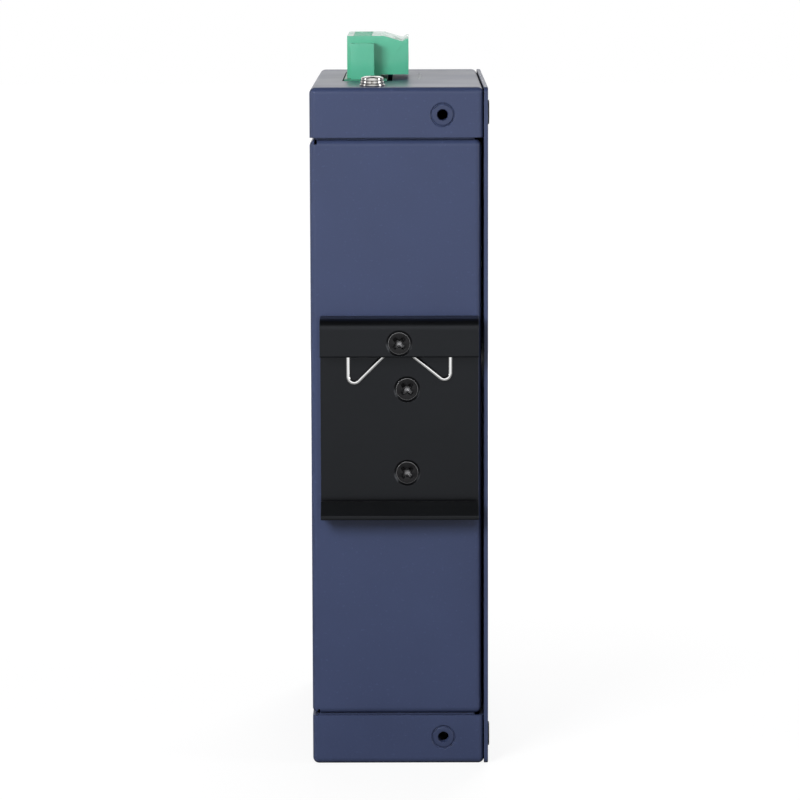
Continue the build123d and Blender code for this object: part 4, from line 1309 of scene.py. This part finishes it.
class SWITCH_OT_stage(bpy.types.Operator):
    """Set the floor, the lamps and the camera"""

    bl_idname = "switch.stage"
    bl_label = "Stage"

    def execute(self, context):
        look = context.scene.switch_stage
        self.sky(context, look)
        self.floor(look)
        self.lamp("Key lamp", (0.15, 0.34, 0.21), (0.13, 0.12), 0.96, mirrored=False)
        self.lamp("Rear softbox", (0.0, 1.15, 0.62), (1.2, 0.5), 1.8)
        self.lamp("Left lamp", (1.3, 0.35, 0.40), (0.4, 0.8), 2.6)
        self.lamp("Right lamp", (-1.3, 0.35, 0.40), (0.4, 0.8), 5.5)
        self.lamp("Front softbox", (0.0, -1.3, 0.9), (1.4, 0.8), 3.5)
        self.lamp("Front key lamp", (-0.10, -0.60, 0.22), (0.3, 0.3), 4.0, mirrored=False)
        self.camera(context, look)
        context.scene.view_settings.view_transform = "Standard"
        return {"FINISHED"}

    def mirror_ray(self, tree, rays):
        """1 where a surface mirrors or refracts the light, else 0."""
        return math_of(tree, "MAXIMUM", rays["Is Glossy Ray"], rays["Is Transmission Ray"])

    def sideways(self, tree, direction, look):
        """Factor that dims what is mirrored from the sides."""
        across = math_of(tree, "ABSOLUTE", place(tree, "ShaderNodeSeparateXYZ", {0: direction}).outputs["X"])
        undimmed, fully_dimmed = 0.45, 0.9
        return ranged(tree, across, undimmed, fully_dimmed, 1.0, look.sides)

    def sky(self, context, look):
        """Even light that is dark overhead, and that the camera sees as white."""
        world = bpy.data.worlds.new("Studio")
        context.scene.world = world
        world.use_nodes = True
        tree = world.node_tree
        tree.nodes.clear()
        direction = place(tree, "ShaderNodeTexCoord").outputs["Generated"]
        height = place(tree, "ShaderNodeSeparateXYZ", {0: direction}).outputs["Z"]
        rays = place(tree, "ShaderNodeLightPath").outputs
        # Heights between which the light changes: 0 is the horizon and 1 is overhead
        horizon_band, zenith_band = (0.10, 0.30), (0.35, 0.8)
        mirrored = ranged(tree, height, *horizon_band, look.horizon, look.mirrored_sky)
        mirrored = math_of(tree, "MULTIPLY", mirrored, self.sideways(tree, direction, look))
        strength = ranged(tree, self.mirror_ray(tree, rays), 0.0, 1.0, look.sky, mirrored)
        overhead = ranged(tree, height, *zenith_band, 1.0, look.zenith)
        dimmed = math_of(tree, "MULTIPLY", strength, overhead)
        seen = math_of(tree, "MAXIMUM", rays["Is Camera Ray"], dimmed)
        light = place(tree, "ShaderNodeBackground", {"Color": (1, 1, 1, 1), "Strength": seen})
        place(tree, "ShaderNodeOutputWorld", {"Surface": light.outputs[0]})

    def floor(self, look):
        """Pale floor, made white for the camera and in reflections, with painted shade near the switch in
        reflections.
        """
        half = 3.0
        shape = bmesh.new()
        bmesh.ops.create_grid(shape, x_segments=1, y_segments=1, size=half)
        material = bpy.data.materials.new("Pale floor")
        material.use_nodes = True
        tree = material.node_tree
        tree.nodes.clear()
        rays = place(tree, "ShaderNodeLightPath").outputs
        where = place(tree, "ShaderNodeTexCoord").outputs["Object"]
        distance = vector_math(tree, "LENGTH", where)["Value"]
        toward = vector_math(tree, "NORMALIZE", where)["Vector"]
        # Distances from the middle between which the floor's glow changes, in metres
        camera_band, mirror_band = (0.15, 0.6), (0.25, 0.75)
        whitened = ranged(tree, distance, *camera_band, look.floor_glow, 1.0)
        camera_glow = math_of(tree, "MULTIPLY", rays["Is Camera Ray"], whitened)
        # Reflections see the floor dimmer near the switch: painted shade around it.
        mirrored = ranged(tree, distance, *mirror_band, look.floor_mirror_near, look.floor_mirror_far)
        mirrored = math_of(tree, "MULTIPLY", mirrored, self.sideways(tree, toward, look))
        mirror_glow = math_of(tree, "MULTIPLY", self.mirror_ray(tree, rays), mirrored)
        strength = math_of(tree, "ADD", camera_glow, mirror_glow)
        glow = place(tree, "ShaderNodeEmission", {"Color": (1, 1, 1, 1), "Strength": strength})
        paper = place(tree, "ShaderNodeBsdfDiffuse", {"Color": opaque(look.floor)})
        both = place(tree, "ShaderNodeAddShader", {0: paper.outputs[0], 1: glow.outputs[0]})
        place(tree, "ShaderNodeOutputMaterial", {"Surface": both.outputs[0]})
        mesh_piece("studio_floor", shape, material)

    def lamp(self, name, where, size, power, mirrored=True):
        """Soft rectangular lamp that shines on the switch; one that isn't mirrored shows nowhere."""
        light = bpy.data.lights.new(name, "AREA")
        light.shape = "RECTANGLE"
        light.size, light.size_y = size
        light.energy = power
        lamp = bpy.data.objects.new(name, light)
        bpy.context.scene.collection.objects.link(lamp)
        lamp.location = where
        direction = Vector((0, 0, CASE_HIGH.z / 2)) - lamp.location
        lamp.rotation_euler = direction.to_track_quat("-Z", "Y").to_euler()
        if not mirrored:
            lamp.visible_camera = False
            lamp.visible_glossy = False

    def camera(self, context, look):
        """Camera behind the switch, looking a little down."""
        data = bpy.data.cameras.new("Camera")
        data.sensor_width = 36
        data.lens = look.lens
        data.clip_start = 0.01
        data.clip_end = 20
        camera = bpy.data.objects.new("Camera", data)
        context.scene.collection.objects.link(camera)
        camera.location = look.camera
        direction = Vector(look.aim) - Vector(look.camera)
        turn = direction.to_track_quat("-Z", "Y").to_matrix() @ Matrix.Rotation(look.roll, 3, "Z")
        camera.rotation_euler = turn.to_euler()
        context.scene.camera = camera


OPERATORS = (
    SWITCH_OT_case,
    SWITCH_OT_inserts,
    SWITCH_OT_clip,
    SWITCH_OT_screws,
    SWITCH_OT_wire,
    SWITCH_OT_plug,
    SWITCH_OT_earth,
    SWITCH_OT_lamps,
    SWITCH_OT_inside,
    SWITCH_OT_stage,
)


class SWITCH_PT_pieces(bpy.types.Panel):
    """Lists the pieces and their sizes and colours"""

    bl_idname = "SWITCH_PT_pieces"
    bl_label = "Rail switch"
    bl_space_type = "VIEW_3D"
    bl_region_type = "UI"
    bl_category = "Rail switch"

    def draw(self, context):
        for operator in OPERATORS:
            self.layout.operator(operator.bl_idname)
        for group_name, group in LOOKS.items():
            box = self.layout.box()
            box.label(text=group.__doc__)
            for name in group.__annotations__:
                box.prop(getattr(context.scene, group_name), name)


def register():
    """Registers the looks, the operators and the panel."""
    for name, group in LOOKS.items():
        bpy.utils.register_class(group)
        setattr(bpy.types.Scene, name, PointerProperty(type=group))
    for operator in OPERATORS:
        bpy.utils.register_class(operator)
    bpy.utils.register_class(SWITCH_PT_pieces)


def unregister():
    """Removes what register added."""
    bpy.utils.unregister_class(SWITCH_PT_pieces)
    for operator in reversed(OPERATORS):
        bpy.utils.unregister_class(operator)
    for name, group in reversed(LOOKS.items()):
        delattr(bpy.types.Scene, name)
        bpy.utils.unregister_class(group)


def main():
    """Makes every piece and the stage."""
    register()
    bpy.ops.switch.case()
    bpy.ops.switch.inserts()
    bpy.ops.switch.clip()
    bpy.ops.switch.screws()
    bpy.ops.switch.wire()
    bpy.ops.switch.plug()
    bpy.ops.switch.earth()
    bpy.ops.switch.lamps()
    bpy.ops.switch.inside()
    bpy.ops.switch.stage()


if __name__ == "__main__":
    main()
